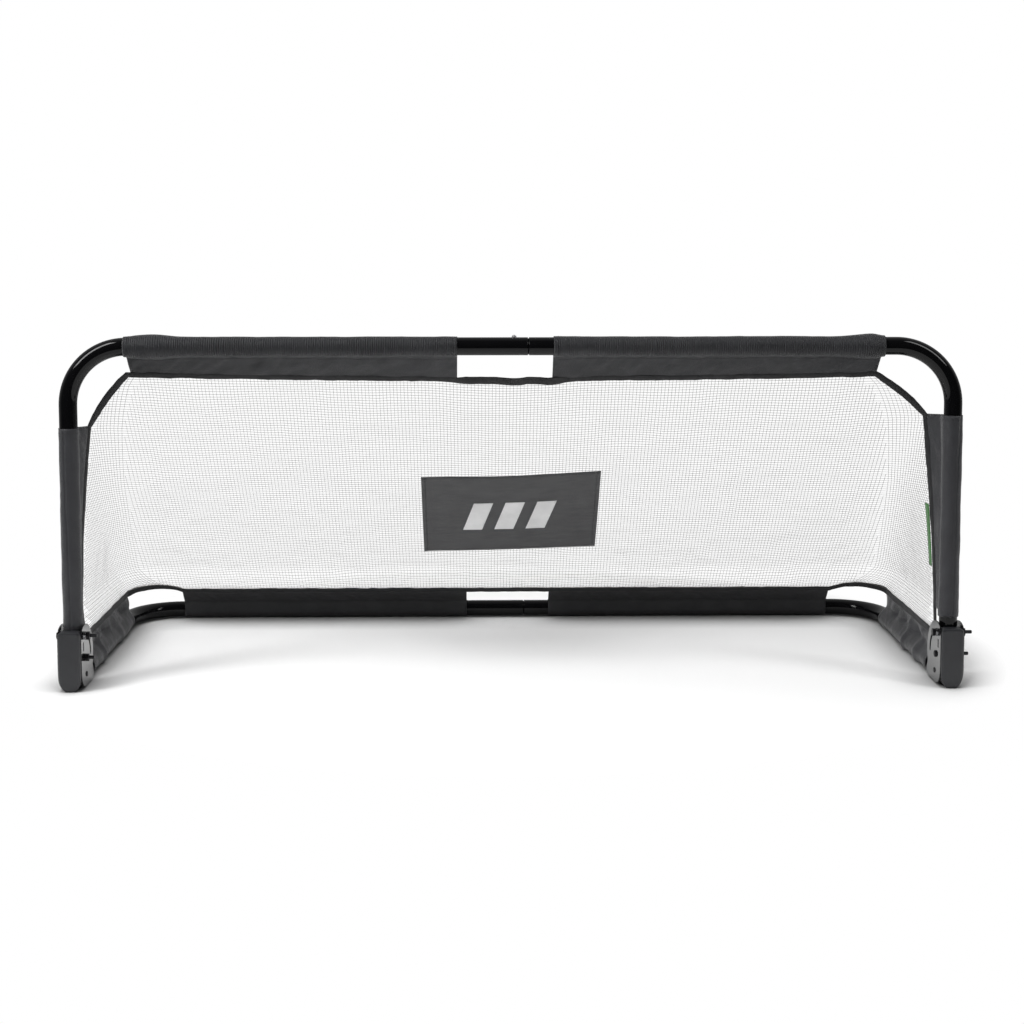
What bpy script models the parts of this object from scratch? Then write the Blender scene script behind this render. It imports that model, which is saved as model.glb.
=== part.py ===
"""A low folding goal: two bent steel-tube frames hinged together at the front feet,
with fabric sleeves, a fine net, an edge binding and moulded foot caps.

X runs across the goal mouth, +Y from the mouth to the back, +Z up. The origin is on
the floor, in the middle of the goal's outline. Lengths are in metres.
"""

from math import asin, cos, pi, radians, sin

import bmesh
import bpy
from mathutils import Matrix, Vector

# Driving dimensions
GOAL_WIDTH = 1.500  # over the outsides of the legs
GOAL_HEIGHT = 0.588  # floor to the top of the bare top bar
FRAME_DEPTH = 0.540  # front tube axis to back bar axis
FRONT_Y = -0.261  # axis of the front frame's tubes and of the fold
TUBE_RADIUS = 0.015
TUBE_WALL = 0.0015
BEND_RADIUS = 0.097  # of the tube axis, in all four corners
GROUND_AXIS_Z = 0.0164  # ground frame's tube axis: radius, sleeve and gaps
GAP = 0.0003  # between pieces that touch
FABRIC = 0.0009

# Hinge brackets
PIVOT_Z = 0.052
GUIDE_RADIUS = 0.037  # pivot to guide bolt, and radius of the arc slots
PLATE_THICKNESS = 0.002
PLATE_GAP = 0.036  # between a bracket's two plates
PLATE_RIM = 0.056  # rim about the pivot
SLOT_HALF_WIDTH = 0.0035
BOLT_RADIUS = 0.003
HOLE_RADIUS = 0.0033
LEG_BELOW_PIVOT = 0.010
GROUND_TUBE_FRONT = -0.008  # front end of the ground tubes, from the pivot
RIVET_Y, RIVET_Z = 0.006, 0.0224
CAP_TOP = 0.1015
CAP_FACE = (0.0188, 0.0040, 0.0240, 0.0066)  # half-width, half of the flat underside,
CAP_BODY = (0.0177, 0.0040, 0.0225, 0.0060)  # height of the low curves, top corner radius
CAP_FRONT, CAP_STEP, CAP_BACK = -0.034, -0.0294, -0.010  # from the front tubes' axis
CAP_EDGE = 0.004  # rounding round the face
CAP_WALL = 0.003
TAB_Y, TAB_Z = -0.015, 0.073  # the cap's snap tabs and their slots
TAB_HALF_Y, TAB_HALF_Z = 0.004, 0.007
GUIDE_NUT_FLATS, GUIDE_NUT_HEIGHT = 0.0125, 0.0062
GUIDE_HEAD_FLATS, GUIDE_HEAD_HEIGHT = 0.0115, 0.0052
GUIDE_WASHER_RADIUS, GUIDE_WASHER_THICKNESS = 0.0070, 0.0014
PIVOT_NUT_FLATS, PIVOT_NUT_HEIGHT = 0.0115, 0.0058
PIVOT_BOLT_END, GUIDE_BOLT_END = 0.0144, 0.0180  # beyond the seat of the nut
CHAMFER = 0.0007
SPACER_RADIUS = 0.0055

# Telescoping joints of the two bars
TOP_JOINT_X = 0.0255
BACK_JOINT_X = 0.031
INSERT_LENGTH = 0.060
INSERT_RADIUS = 0.0132
INSERT_BORE = 0.0117
BUTTON_FROM_JOINT = 0.023
BUTTON_RADIUS = 0.004
BUTTON_HOLE_RADIUS = 0.0043

# Net, edge binding and sleeve flaps
LEG_SLEEVES = {-1: (0.0985, 0.438, 0.024), 1: (0.117, 0.457, 0.008)}  # low, high, notch
SLOPE = radians(46)  # of the back of the net
BINDING_WIDTH = 0.010
BINDING_THICKNESS = 0.0016
NET_THICKNESS = 0.0008
FLAP_MARGIN = 0.001  # sleeve flap to binding
NET_MARGIN = 0.002  # binding to net
NET_SAG = 0.014  # of the net's back below its chord
NET_DROP = 0.62  # length of the net's back down its slope
LABEL_X = 0.001
LABEL_OFFSET = 0.0014  # net to label, middle to middle
TOP_REACH = 0.070  # tube axis to the middle of the binding
TOP_REACH_SAG = 0.011  # more towards the middle of the bar
TOP_GAP_SAG = 0.008  # and more again where the sleeves leave the bar bare
LEG_REACH = 0.060
SIDE_REACH = 0.053
BACK_REACH = 0.063

LEG_X = GOAL_WIDTH / 2 - TUBE_RADIUS
TOP_AXIS_Z = GOAL_HEIGHT - TUBE_RADIUS
BACK_Y = FRONT_Y + FRAME_DEPTH
TUBE_BORE = TUBE_RADIUS - TUBE_WALL
SLEEVE_BORE = TUBE_RADIUS + 0.0005

X, Y, Z = Vector((1, 0, 0)), Vector((0, 1, 0)), Vector((0, 0, 1))

for old in list(bpy.data.objects):
    bpy.data.objects.remove(old)


def make_material(name, colour, roughness, metallic=0.0):
    material = bpy.data.materials.new(name)
    material.use_nodes = True
    shader = material.node_tree.nodes["Principled BSDF"]
    shader.inputs["Base Color"].default_value = (*colour, 1)
    shader.inputs["Roughness"].default_value = roughness
    shader.inputs["Metallic"].default_value = metallic
    return material


PAINT = make_material("gloss_black_paint", (0.006, 0.006, 0.007), 0.22)
PLASTIC = make_material("foot_plastic", (0.055, 0.056, 0.06), 0.6)
BLACK_STEEL = make_material("black_fastener", (0.012, 0.012, 0.013), 0.35, 0.6)
ZINC = make_material("zinc_washer", (0.6, 0.6, 0.62), 0.3, 1.0)
SPRING = make_material("spring_steel", (0.35, 0.35, 0.36), 0.35, 1.0)
NYLON = make_material("spacer_nylon", (0.02, 0.02, 0.02), 0.5)
CLOTH = make_material("sleeve_fabric", (0.045, 0.045, 0.05), 0.7)
NET = make_material("net_thread", (0.012, 0.012, 0.012), 0.8)
TAPE = make_material("edge_binding", (0.014, 0.014, 0.015), 0.8)
LABEL = make_material("label_fabric", (0.07, 0.07, 0.072), 0.75)
GREEN = make_material("care_tag", (0.05, 0.28, 0.07), 0.7)


# ---------------------------------------------------------------- building blocks


def add(name, bm, material, origin, parent=None):
    """Makes an object of a mesh drawn in world coordinates, with its origin at a point."""
    bmesh.ops.remove_doubles(bm, verts=bm.verts, dist=1e-6)
    bmesh.ops.recalc_face_normals(bm, faces=bm.faces)
    bmesh.ops.translate(bm, verts=bm.verts, vec=-origin)
    mesh = bpy.data.meshes.new(name)
    bm.to_mesh(mesh)
    bm.free()
    mesh.shade_smooth()
    mesh.set_sharp_from_angle(angle=radians(35))
    thing = bpy.data.objects.new(name, mesh)
    thing.location = origin
    if parent:
        thing.parent = parent
        thing.location = origin - parent.location
    mesh.materials.append(material)
    bpy.context.collection.objects.link(thing)
    return thing


def add_empty(name, location):
    empty = bpy.data.objects.new(name, None)
    empty.location = location
    bpy.context.collection.objects.link(empty)
    return empty


def combine(target, other, operation):
    """Takes another body out of the target, or fuses it in."""
    bpy.context.view_layer.update()
    modifier = target.modifiers.new("combine", "BOOLEAN")
    modifier.operation = operation
    modifier.solver = "EXACT"
    modifier.object = other
    depsgraph = bpy.context.evaluated_depsgraph_get()
    mesh = bpy.data.meshes.new_from_object(target.evaluated_get(depsgraph))
    target.modifiers.clear()
    target.data = mesh
    bpy.data.objects.remove(other)


def cut(target, cutter):
    combine(target, cutter, "DIFFERENCE")


def join(target, other):
    combine(target, other, "UNION")


def circle(centre, u, v, radius, count=16):
    turns = [2 * pi * (i + 0.5) / count for i in range(count)]
    return [centre + u * radius * cos(t) + v * radius * sin(t) for t in turns]


def hexagon(centre, u, v, across_flats, count=12):
    """Points on a hexagon's outline: its corners and the middles of its flats."""
    points = []
    for i in range(count):
        turn = 2 * pi * i / count
        radius = across_flats / 2 if i % 2 else across_flats / 2 / cos(pi / 6)
        points.append(centre + u * radius * cos(turn) + v * radius * sin(turn))
    return points


def add_loops(bm, loops):
    return [[bm.verts.new(p) for p in loop] for loop in loops]


def bridge(bm, first, second):
    for i in range(len(first)):
        j = (i + 1) % len(first)
        bm.faces.new((first[i], first[j], second[j], second[i]))


def skin(loops, closed=False):
    """A closed body through a row of loops, capped at both ends or joined end to end."""
    bm = bmesh.new()
    rows = add_loops(bm, loops)
    for first, second in zip(rows, rows[1:]):
        bridge(bm, first, second)
    if closed:
        bridge(bm, rows[-1], rows[0])
    else:
        bm.faces.new(rows[0])
        bm.faces.new(rows[-1])
    return bm


def pipe(outer_loops, inner_loops):
    """A body between an outer and an inner row of loops, open at both ends."""
    bm = bmesh.new()
    outer, inner = add_loops(bm, outer_loops), add_loops(bm, inner_loops)
    for rows in (outer, inner):
        for first, second in zip(rows, rows[1:]):
            bridge(bm, first, second)
    bridge(bm, outer[0], inner[0])
    bridge(bm, outer[-1], inner[-1])
    return bm


def prism(outline, direction):
    return skin([outline, [p + direction for p in outline]])


def cylinder_cutter(centre, axis, radius, length, count=14):
    u = axis.orthogonal().normalized()
    v = axis.cross(u)
    ends = [centre - axis * length / 2, centre + axis * length / 2]
    bm = skin([circle(end, u, v, radius, count) for end in ends])
    return add("cutter", bm, PAINT, centre)


def box(middle, half_size):
    bm = bmesh.new()
    bmesh.ops.create_cube(bm, size=2)
    placed = Matrix.Translation(middle) @ Matrix.Diagonal((*half_size, 1))
    bmesh.ops.transform(bm, verts=bm.verts, matrix=placed)
    return add("box", bm, PLASTIC, middle)


def sheet(grid, thickness):
    """A closed slab that follows a grid of points, half its thickness to each side."""
    rows, columns = len(grid), len(grid[0])

    def normal(i, j):
        along = grid[min(i + 1, rows - 1)][j] - grid[max(i - 1, 0)][j]
        across = grid[i][min(j + 1, columns - 1)] - grid[i][max(j - 1, 0)]
        return along.cross(across).normalized()

    bm = bmesh.new()
    sides = []
    for sign in (-0.5, 0.5):
        offset = sign * thickness
        moved = [[p + normal(i, j) * offset for j, p in enumerate(row)] for i, row in enumerate(grid)]
        sides.append(add_loops(bm, moved))
    for side in sides:
        for i in range(rows - 1):
            for j in range(columns - 1):
                bm.faces.new((side[i][j], side[i + 1][j], side[i + 1][j + 1], side[i][j + 1]))
    rim = [(0, j) for j in range(columns)] + [(i, columns - 1) for i in range(1, rows)]
    rim += [(rows - 1, j) for j in range(columns - 2, -1, -1)] + [(i, 0) for i in range(rows - 2, 0, -1)]
    for (i, j), (k, m) in zip(rim, rim[1:] + rim[:1]):
        bm.faces.new((sides[0][i][j], sides[0][k][m], sides[1][k][m], sides[1][i][j]))
    return bm


# ---------------------------------------------------------------- tube frames


def elbow(start, corner, end, radius, steps=7):
    """Points and directions along a path with one rounded corner."""
    into, out = (corner - start).normalized(), (end - corner).normalized()
    centre = corner - into * radius + out * radius
    path = [(start, into)]
    for i in range(steps + 1):
        turn = pi / 2 * i / steps
        direction = into * cos(turn) + out * sin(turn)
        path.append((centre - out * radius * cos(turn) + into * radius * sin(turn), direction))
    path.append((end, out))
    return path


def bent_tube(name, path, plane_normal, parent, insert=False):
    """A hollow tube; with insert, its first end is swaged down to slide into its fellow."""
    first, direction = path[0]
    stations = [(point, aim, TUBE_RADIUS, TUBE_BORE) for point, aim in path]
    if insert:
        stations = [
            (first - direction * INSERT_LENGTH, direction, INSERT_RADIUS, INSERT_BORE),
            (first - direction * 2 * GAP, direction, INSERT_RADIUS, INSERT_BORE),
            (first + direction * 0.003, direction, TUBE_RADIUS, TUBE_BORE),
        ] + stations[1:]
    outer, inner = [], []
    for point, aim, radius, bore in stations:
        sideways = plane_normal.cross(aim)
        outer.append(circle(point, sideways, plane_normal, radius))
        inner.append(circle(point, sideways, plane_normal, bore))
    return add(name, pipe(outer, inner), PAINT, path[-1][0], parent)


def front_tube(side, parent):
    """Half of the front frame: one leg, its bend and its part of the top bar."""
    joint = Vector((TOP_JOINT_X, FRONT_Y, TOP_AXIS_Z))
    corner = Vector((side * LEG_X, FRONT_Y, TOP_AXIS_Z))
    foot = Vector((side * LEG_X, FRONT_Y, PIVOT_Z - LEG_BELOW_PIVOT))
    name = "front_tube_right" if side > 0 else "front_tube_left"
    tube = bent_tube(name, elbow(joint, corner, foot, BEND_RADIUS), Y, parent, side > 0)
    for height in (PIVOT_Z, PIVOT_Z + GUIDE_RADIUS):
        at = Vector((side * LEG_X, FRONT_Y, height))
        cut(tube, cylinder_cutter(at, X, HOLE_RADIUS, 0.05))
    at = Vector((TOP_JOINT_X - BUTTON_FROM_JOINT, FRONT_Y, TOP_AXIS_Z + TUBE_RADIUS))
    cut(tube, cylinder_cutter(at, Z, BUTTON_HOLE_RADIUS, 0.02))


def ground_tube(side):
    """Half of the ground frame: one side tube, its bend and its part of the back bar."""
    joint = Vector((BACK_JOINT_X, BACK_Y, GROUND_AXIS_Z))
    corner = Vector((side * LEG_X, BACK_Y, GROUND_AXIS_Z))
    front = Vector((side * LEG_X, FRONT_Y + GROUND_TUBE_FRONT, GROUND_AXIS_Z))
    name = "ground_tube_right" if side > 0 else "ground_tube_left"
    tube = bent_tube(name, elbow(joint, corner, front, BEND_RADIUS), Z, None, side > 0)
    rivet = Vector((side * LEG_X, FRONT_Y + RIVET_Y, RIVET_Z))
    cut(tube, cylinder_cutter(rivet, X, HOLE_RADIUS, 0.05))
    at = Vector((BACK_JOINT_X - BUTTON_FROM_JOINT, BACK_Y + TUBE_RADIUS, GROUND_AXIS_Z))
    cut(tube, cylinder_cutter(at, Y, BUTTON_HOLE_RADIUS, 0.02))


def lock_button(name, axis_point, up, parent):
    """The snap pin of a telescoping joint, with the collar that keeps it in the tube."""
    collar_low, collar_top, tip = 0.0088, 0.0100, 0.0186
    profile = [
        (collar_low, 0.0052),
        (collar_top, 0.0052),
        (collar_top, BUTTON_RADIUS),
        (tip - 0.0022, BUTTON_RADIUS),
        (tip - 0.0008, 0.0030),
        (tip, 0.0012),
    ]
    v = X.cross(up)
    loops = [circle(axis_point + up * height, X, v, radius, 14) for height, radius in profile]
    add(name, skin(loops), SPRING, axis_point + up * collar_low, parent)


def spring_clip(name, axis_point, up, parent=None):
    """A leaf bent double inside the tube: it pushes the snap pin out."""
    half_width, leaf = 0.0028, 0.0007
    low, high, bend_x = -0.0106, 0.0084, -0.030
    middle = (low + high) / 2 - 0.006
    line = [(0.004, low), (bend_x, low)]
    for i in range(1, 6):
        turn = pi * i / 6
        line.append((bend_x - 0.0045 * sin(turn), middle - (middle - low) * cos(turn)))
    line += [(bend_x, 2 * middle - low), (0.004, high)]
    points = [Vector(p) for p in line]
    sideways = X.cross(up)
    loops = []
    for i, point in enumerate(points):
        along = points[min(i + 1, len(points) - 1)] - points[max(i - 1, 0)]
        across = Vector((-along.y, along.x)).normalized() * leaf / 2
        upper, lower = point + across, point - across
        corners = [(upper, 1), (upper, -1), (lower, -1), (lower, 1)]
        loops.append([axis_point + X * p.x + up * p.y + sideways * half_width * s for p, s in corners])
    add(name, skin(loops), SPRING, axis_point, parent)


# ---------------------------------------------------------------- hinge brackets


def arc_points(centre, radius, start, end, steps):
    turns = [radians(start + (end - start) * i / steps) for i in range(steps + 1)]
    return [centre + Y * radius * cos(t) + Z * radius * sin(t) for t in turns]


def bracket_plate_mesh():
    """A bracket's side plate about its pivot, with its two bolt holes, its arc slot
    and the slot for the cap's tab. All four plates are alike."""
    pivot = Vector((0, 0, 0))
    outline = arc_points(pivot, PLATE_RIM, -25, 112, 12)
    outline += [Vector((0, -0.029, 0.040)), Vector((0, -0.029, -0.020))]
    outline += arc_points(Vector((0, -0.003, -0.022)), 0.026, 188, 270, 5)
    outline += arc_points(Vector((0, 0.046, -0.036)), 0.012, 270, 350, 4)
    outline = [p - X * PLATE_THICKNESS / 2 for p in outline]
    plate = add("plate", prism(outline, X * PLATE_THICKNESS), PAINT, pivot)

    slot = arc_points(pivot, GUIDE_RADIUS + SLOT_HALF_WIDTH, 0, 90, 8)
    slot += arc_points(pivot + Z * GUIDE_RADIUS, SLOT_HALF_WIDTH, 120, 240, 4)
    slot += arc_points(pivot, GUIDE_RADIUS - SLOT_HALF_WIDTH, 90, 0, 8)
    slot += arc_points(pivot + Y * GUIDE_RADIUS, SLOT_HALF_WIDTH, 210, 330, 4)
    slot = [p - X * 0.005 for p in slot]
    cut(plate, add("cutter", prism(slot, X * 0.010), PAINT, pivot))
    for y, z in ((0, 0), (RIVET_Y, RIVET_Z - PIVOT_Z)):
        cut(plate, cylinder_cutter(Vector((0, y, z)), X, HOLE_RADIUS, 0.01))
    tab = Vector((0, TAB_Y, TAB_Z - PIVOT_Z))
    cut(plate, box(tab, Vector((0.005, TAB_HALF_Y + GAP, TAB_HALF_Z + GAP))))
    mesh = plate.data
    bpy.data.objects.remove(plate)
    return mesh


def bracket_plates(side, mesh, label):
    for place, offset in (("inner", -1), ("outer", 1)):
        plate = bpy.data.objects.new(f"bracket_plate_{place}_{label}", mesh)
        x = side * (LEG_X + offset * (PLATE_GAP + PLATE_THICKNESS) / 2)
        plate.location = (x, FRONT_Y, PIVOT_Z)
        bpy.context.collection.objects.link(plate)


def cap_outline(centre, shape, y, inset):
    """Front view of the cap: wide curves below, smaller round corners at the top."""
    half, flat, low_height, top_round = shape
    top_x, top_z = half - top_round, CAP_TOP - top_round
    corners = [(flat, low_height, half - flat, low_height, -90)]
    corners += [(top_x, top_z, top_round, top_round, 0), (-top_x, top_z, top_round, top_round, 90)]
    corners += [(-flat, low_height, half - flat, low_height, 180)]
    steps = 7
    points = []
    for x, z, wide, tall, start in corners:
        for i in range(steps + 1):
            turn = radians(start + 90 * i / steps)
            reach = Vector(((wide - inset) * cos(turn), 0, (tall - inset) * sin(turn)))
            points.append(centre + Vector((x, y, z)) + reach)
    return points


def foot_cap(side, label):
    """A moulded shoe: its rounded face stands just in front of the plates, its body
    stands on the floor between them and snaps into them with two tabs."""
    centre = Vector((side * LEG_X, FRONT_Y, 0))
    rows = [(CAP_FACE, CAP_FRONT, CAP_EDGE), (CAP_FACE, CAP_FRONT + 0.3 * CAP_EDGE, 0.3 * CAP_EDGE)]
    rows += [(CAP_FACE, CAP_FRONT + CAP_EDGE, 0), (CAP_BODY, CAP_STEP, 0), (CAP_BODY, CAP_BACK, 0)]
    loops = [cap_outline(centre, *row) for row in rows]
    cap = add(f"foot_cap_{label}", skin(loops), PLASTIC, centre)

    pocket_ends = (CAP_FRONT + CAP_WALL + 0.001, CAP_BACK + 0.010)
    pocket = [cap_outline(centre, CAP_BODY, y, CAP_WALL) for y in pocket_ends]
    cut(cap, add("pocket", skin(pocket), PLASTIC, centre))

    leg_front = -TUBE_RADIUS - 0.0025
    notch_middle = Vector((0, leg_front / 2 + 0.005, CAP_TOP - 0.005))
    cut(cap, box(centre + notch_middle, Vector((0.0152, 0.005 - leg_front / 2, 0.015))))

    into_body = 0.001
    for sign in (-1, 1):
        reach = PLATE_THICKNESS + into_body
        tab_x = sign * (CAP_BODY[0] - into_body + reach / 2)
        tab = box(centre + Vector((tab_x, TAB_Y, TAB_Z)), Vector((reach / 2, TAB_HALF_Y, TAB_HALF_Z)))
        join(cap, tab)


def turned(centre, profile):
    """A closed body along X through (x, size, shape) stations; size is a radius, or a
    width across flats."""
    loops = []
    for x, size, shape in profile:
        draw = hexagon if shape == "hex" else circle
        loops.append(draw(centre + X * x, Y, Z, size, 12))
    return skin(loops)


def ring(centre, low, high, radius, bore, shape=circle):
    outer = [shape(centre + X * x, Y, Z, radius, 12) for x in (low, high)]
    inner = [circle(centre + X * x, Y, Z, bore, 12) for x in (low, high)]
    return pipe(outer, inner)


def pivot_hardware(side, label):
    """The fold's bolt, its nut and the two spacers beside the leg."""
    centre = Vector((side * LEG_X, FRONT_Y, PIVOT_Z))
    face = PLATE_GAP / 2 + PLATE_THICKNESS + GAP
    head = [(-face - 0.003, 0.0034, "round"), (-face - 0.0018, 0.0055, "round"), (-face, 0.0058, "round")]
    shank = [(-face, BOLT_RADIUS, "round"), (face + PIVOT_BOLT_END - CHAMFER, BOLT_RADIUS, "round")]
    shank += [(face + PIVOT_BOLT_END, BOLT_RADIUS - CHAMFER, "round")]
    add(f"pivot_bolt_{label}", turned(centre, head + shank), BLACK_STEEL, centre)
    bm = ring(centre, face, face + PIVOT_NUT_HEIGHT, PIVOT_NUT_FLATS, HOLE_RADIUS, hexagon)
    add(f"pivot_nut_{label}", bm, BLACK_STEEL, centre)

    for place, offset in (("inner", -side), ("outer", side)):
        bm = ring(centre, *spacer_span(offset), SPACER_RADIUS, HOLE_RADIUS)
        add(f"pivot_spacer_{place}_{label}", bm, NYLON, centre)


def spacer_span(direction):
    low, high = TUBE_RADIUS + GAP, PLATE_GAP / 2 - GAP
    return (low, high) if direction > 0 else (-high, -low)


def guide_hardware(side, label, parent):
    """The bolt that rides in the arc slots, its nut, washers and spacers."""
    centre = Vector((side * LEG_X, FRONT_Y, PIVOT_Z + GUIDE_RADIUS))
    face = PLATE_GAP / 2 + PLATE_THICKNESS + GAP
    seat = face + GUIDE_WASHER_THICKNESS + GAP
    head_end = -seat - GUIDE_HEAD_HEIGHT
    head = [(head_end, GUIDE_HEAD_FLATS - 2 * CHAMFER, "hex")]
    head += [(x, GUIDE_HEAD_FLATS, "hex") for x in (head_end + CHAMFER, -seat)]
    shank_end = seat + GUIDE_BOLT_END
    shank = [(-seat, BOLT_RADIUS, "round"), (shank_end - CHAMFER, BOLT_RADIUS, "round")]
    shank += [(shank_end, BOLT_RADIUS - CHAMFER, "round")]
    add(f"guide_bolt_{label}", turned(centre, head + shank), BLACK_STEEL, centre, parent)
    bm = ring(centre, seat, seat + GUIDE_NUT_HEIGHT, GUIDE_NUT_FLATS, HOLE_RADIUS, hexagon)
    add(f"guide_nut_{label}", bm, BLACK_STEEL, centre, parent)
    for place, low in (("head", -face - GUIDE_WASHER_THICKNESS), ("nut", face)):
        bm = ring(centre, low, low + GUIDE_WASHER_THICKNESS, GUIDE_WASHER_RADIUS, HOLE_RADIUS)
        add(f"guide_washer_{place}_{label}", bm, ZINC, centre, parent)
    for place, offset in (("inner", -side), ("outer", side)):
        bm = ring(centre, *spacer_span(offset), SPACER_RADIUS, HOLE_RADIUS)
        add(f"guide_spacer_{place}_{label}", bm, NYLON, centre, parent)


def ground_rivet(side, label):
    """The rivet that holds a ground tube between the plates, and its two spacers."""
    centre = Vector((side * LEG_X, FRONT_Y + RIVET_Y, RIVET_Z))
    face = PLATE_GAP / 2 + PLATE_THICKNESS + GAP
    dome = [(0.0016, 0.0026), (0.0010, 0.0042), (0, 0.0048)]
    head = [(-face - height, radius, "round") for height, radius in dome]
    tail = [(-x, size, shape) for x, size, shape in reversed(head)]
    shank = [(-face, BOLT_RADIUS, "round"), (face, BOLT_RADIUS, "round")]
    add(f"ground_rivet_{label}", turned(centre, head + shank + tail), BLACK_STEEL, centre)
    for place, offset in (("inner", -side), ("outer", side)):
        bm = ring(centre, *spacer_span(offset), SPACER_RADIUS, HOLE_RADIUS)
        add(f"ground_spacer_{place}_{label}", bm, NYLON, centre)


# ---------------------------------------------------------------- sleeves


def sleeve(name, stations, origin, parent=None):
    """Fabric wrapped round a tube, with its seam allowance standing off as a flap.

    A station is (tube axis point, flap direction, flap edge from the axis, shift of
    the flap's edge along the tube); the tube's direction follows from the stations.
    """
    outer_radius = SLEEVE_BORE + FABRIC
    half_turn = asin(FABRIC / 2 / outer_radius)
    others = 15
    turns = [-half_turn, half_turn]
    turns += [half_turn + (2 * pi - 2 * half_turn) * (i + 1) / (others + 1) for i in range(others)]
    axis = (stations[-1][0] - stations[0][0]).normalized()
    bm = bmesh.new()
    rows = []
    for point, flap, edge, shift in stations:
        across = axis.cross(flap)
        radials = [flap * cos(t) + across * sin(t) for t in turns]
        outer = [bm.verts.new(point + r * outer_radius) for r in radials]
        inner = [bm.verts.new(point + r * SLEEVE_BORE) for r in radials]
        tip = point + flap * edge + axis * shift
        tips = [bm.verts.new(tip + across * FABRIC / 2 * s) for s in (-1, 1)]
        rows.append((outer, inner, tips))
    count = len(turns)
    for (outer, inner, tips), (next_outer, next_inner, next_tips) in zip(rows, rows[1:]):
        for i in range(count):
            j = (i + 1) % count
            bm.faces.new((inner[i], inner[j], next_inner[j], next_inner[i]))
            if i:
                bm.faces.new((outer[i], outer[j], next_outer[j], next_outer[i]))
        for i in (0, 1):
            bm.faces.new((outer[i], tips[i], next_tips[i], next_outer[i]))
        bm.faces.new((tips[0], tips[1], next_tips[1], next_tips[0]))
    for outer, inner, tips in (rows[0], rows[-1]):
        for i in range(count):
            j = (i + 1) % count
            bm.faces.new((outer[i], outer[j], inner[j], inner[i]))
        bm.faces.new((outer[0], outer[1], tips[1], tips[0]))
    add(name, bm, CLOTH, origin, parent)


def top_reach(x):
    """Tube axis to the middle of the binding, along the top bar."""
    bare = max(0, 1 - (x / 0.16) ** 2) ** 2
    return TOP_REACH + TOP_REACH_SAG * (1 - (x / 0.63) ** 2) + TOP_GAP_SAG * bare


def leg_turn(z):
    """How far the leg's flap turns inwards from straight back, at a height."""
    return radians(4 + 22 * max(0, (z - 0.11) / 0.33) ** 1.6)


def flap_edge(reach):
    return reach - BINDING_WIDTH / 2 - FLAP_MARGIN


def top_sleeve(name, start, end, parent):
    down = Y * cos(SLOPE) - Z * sin(SLOPE)
    stations = []
    count = 7
    for i in range(count):
        x = start + (end - start) * i / (count - 1)
        outer_start, outer_end = i == 0 and start < -0.5, i == count - 1 and end > 0.5
        shift = 0.007 * (outer_start - outer_end)
        stations.append((Vector((x, FRONT_Y, TOP_AXIS_Z)), down, flap_edge(top_reach(x)), shift))
    sleeve(name, stations, Vector((start, FRONT_Y, TOP_AXIS_Z)), parent)


def leg_sleeve(name, side, parent):
    low, high, notch = LEG_SLEEVES[side]
    stations = []
    count = 8
    for i in range(count):
        z = low + (high - low) * i / (count - 1)
        turn = leg_turn(z)
        flap = Y * cos(turn) - X * side * sin(turn)
        shift = notch if i == 0 else -0.018 if i == count - 1 else 0
        stations.append((Vector((side * LEG_X, FRONT_Y, z)), flap, flap_edge(LEG_REACH), shift))
    sleeve(name, stations, Vector((side * LEG_X, FRONT_Y, low)), parent)


def side_sleeve(name, side):
    front, back = FRONT_Y + 0.078, BACK_Y - BEND_RADIUS - 0.008
    lean = radians(4)
    flap = Z * cos(lean) - X * side * sin(lean)
    stations = []
    for i in range(4):
        y = front + (back - front) * i / 3
        shift = 0.004 if i == 0 else -0.006 if i == 3 else 0
        stations.append((Vector((side * LEG_X, y, GROUND_AXIS_Z)), flap, flap_edge(SIDE_REACH), shift))
    sleeve(name, stations, Vector((side * LEG_X, front, GROUND_AXIS_Z)))


def back_sleeve(name, start, end):
    up = Z * sin(SLOPE) - Y * cos(SLOPE)
    stations = []
    for i in range(4):
        x = start + (end - start) * i / 3
        stations.append((Vector((x, BACK_Y, GROUND_AXIS_Z)), up, flap_edge(BACK_REACH), 0))
    sleeve(name, stations, Vector((start, BACK_Y, GROUND_AXIS_Z)))


# ---------------------------------------------------------------- net


def top_edge(x):
    """Middle of the binding under the top bar, and the way from there to the bar."""
    down = Y * cos(SLOPE) - Z * sin(SLOPE)
    return Vector((x, FRONT_Y, TOP_AXIS_Z)) + down * top_reach(x), -down


def leg_edge(z):
    turn = leg_turn(z)
    inward = Y * cos(turn) - X * sin(turn)
    return Vector((LEG_X, FRONT_Y, z)) + inward * LEG_REACH, -inward


def side_edge(y):
    lean = radians(4)
    up = Z * cos(lean) - X * sin(lean)
    return Vector((LEG_X, FRONT_Y + y, GROUND_AXIS_Z)) + up * SIDE_REACH, -up


def back_edge(x):
    up = Z * sin(SLOPE) - Y * cos(SLOPE)
    return Vector((x, BACK_Y, GROUND_AXIS_Z)) + up * BACK_REACH, -up


def corner_edge(first, last, control, outward, steps):
    """Stations round a corner of the binding, between two of its straight runs."""
    (p, u), (q, v) = first, last
    stations = []
    for i in range(1, steps):
        t = i / steps
        point = p * (1 - t) ** 2 + control * 2 * t * (1 - t) + q * t**2
        way = u * (1 - t) + v * t + outward * 4 * t * (1 - t)
        stations.append((point, way.normalized()))
    return stations


TOP_END_X, BACK_END_X = 0.630, 0.637
LEG_TOP_Z, LEG_LOW_Z = 0.440, 0.118
SIDE_FRONT, SIDE_BACK = 0.084, 0.430


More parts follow.
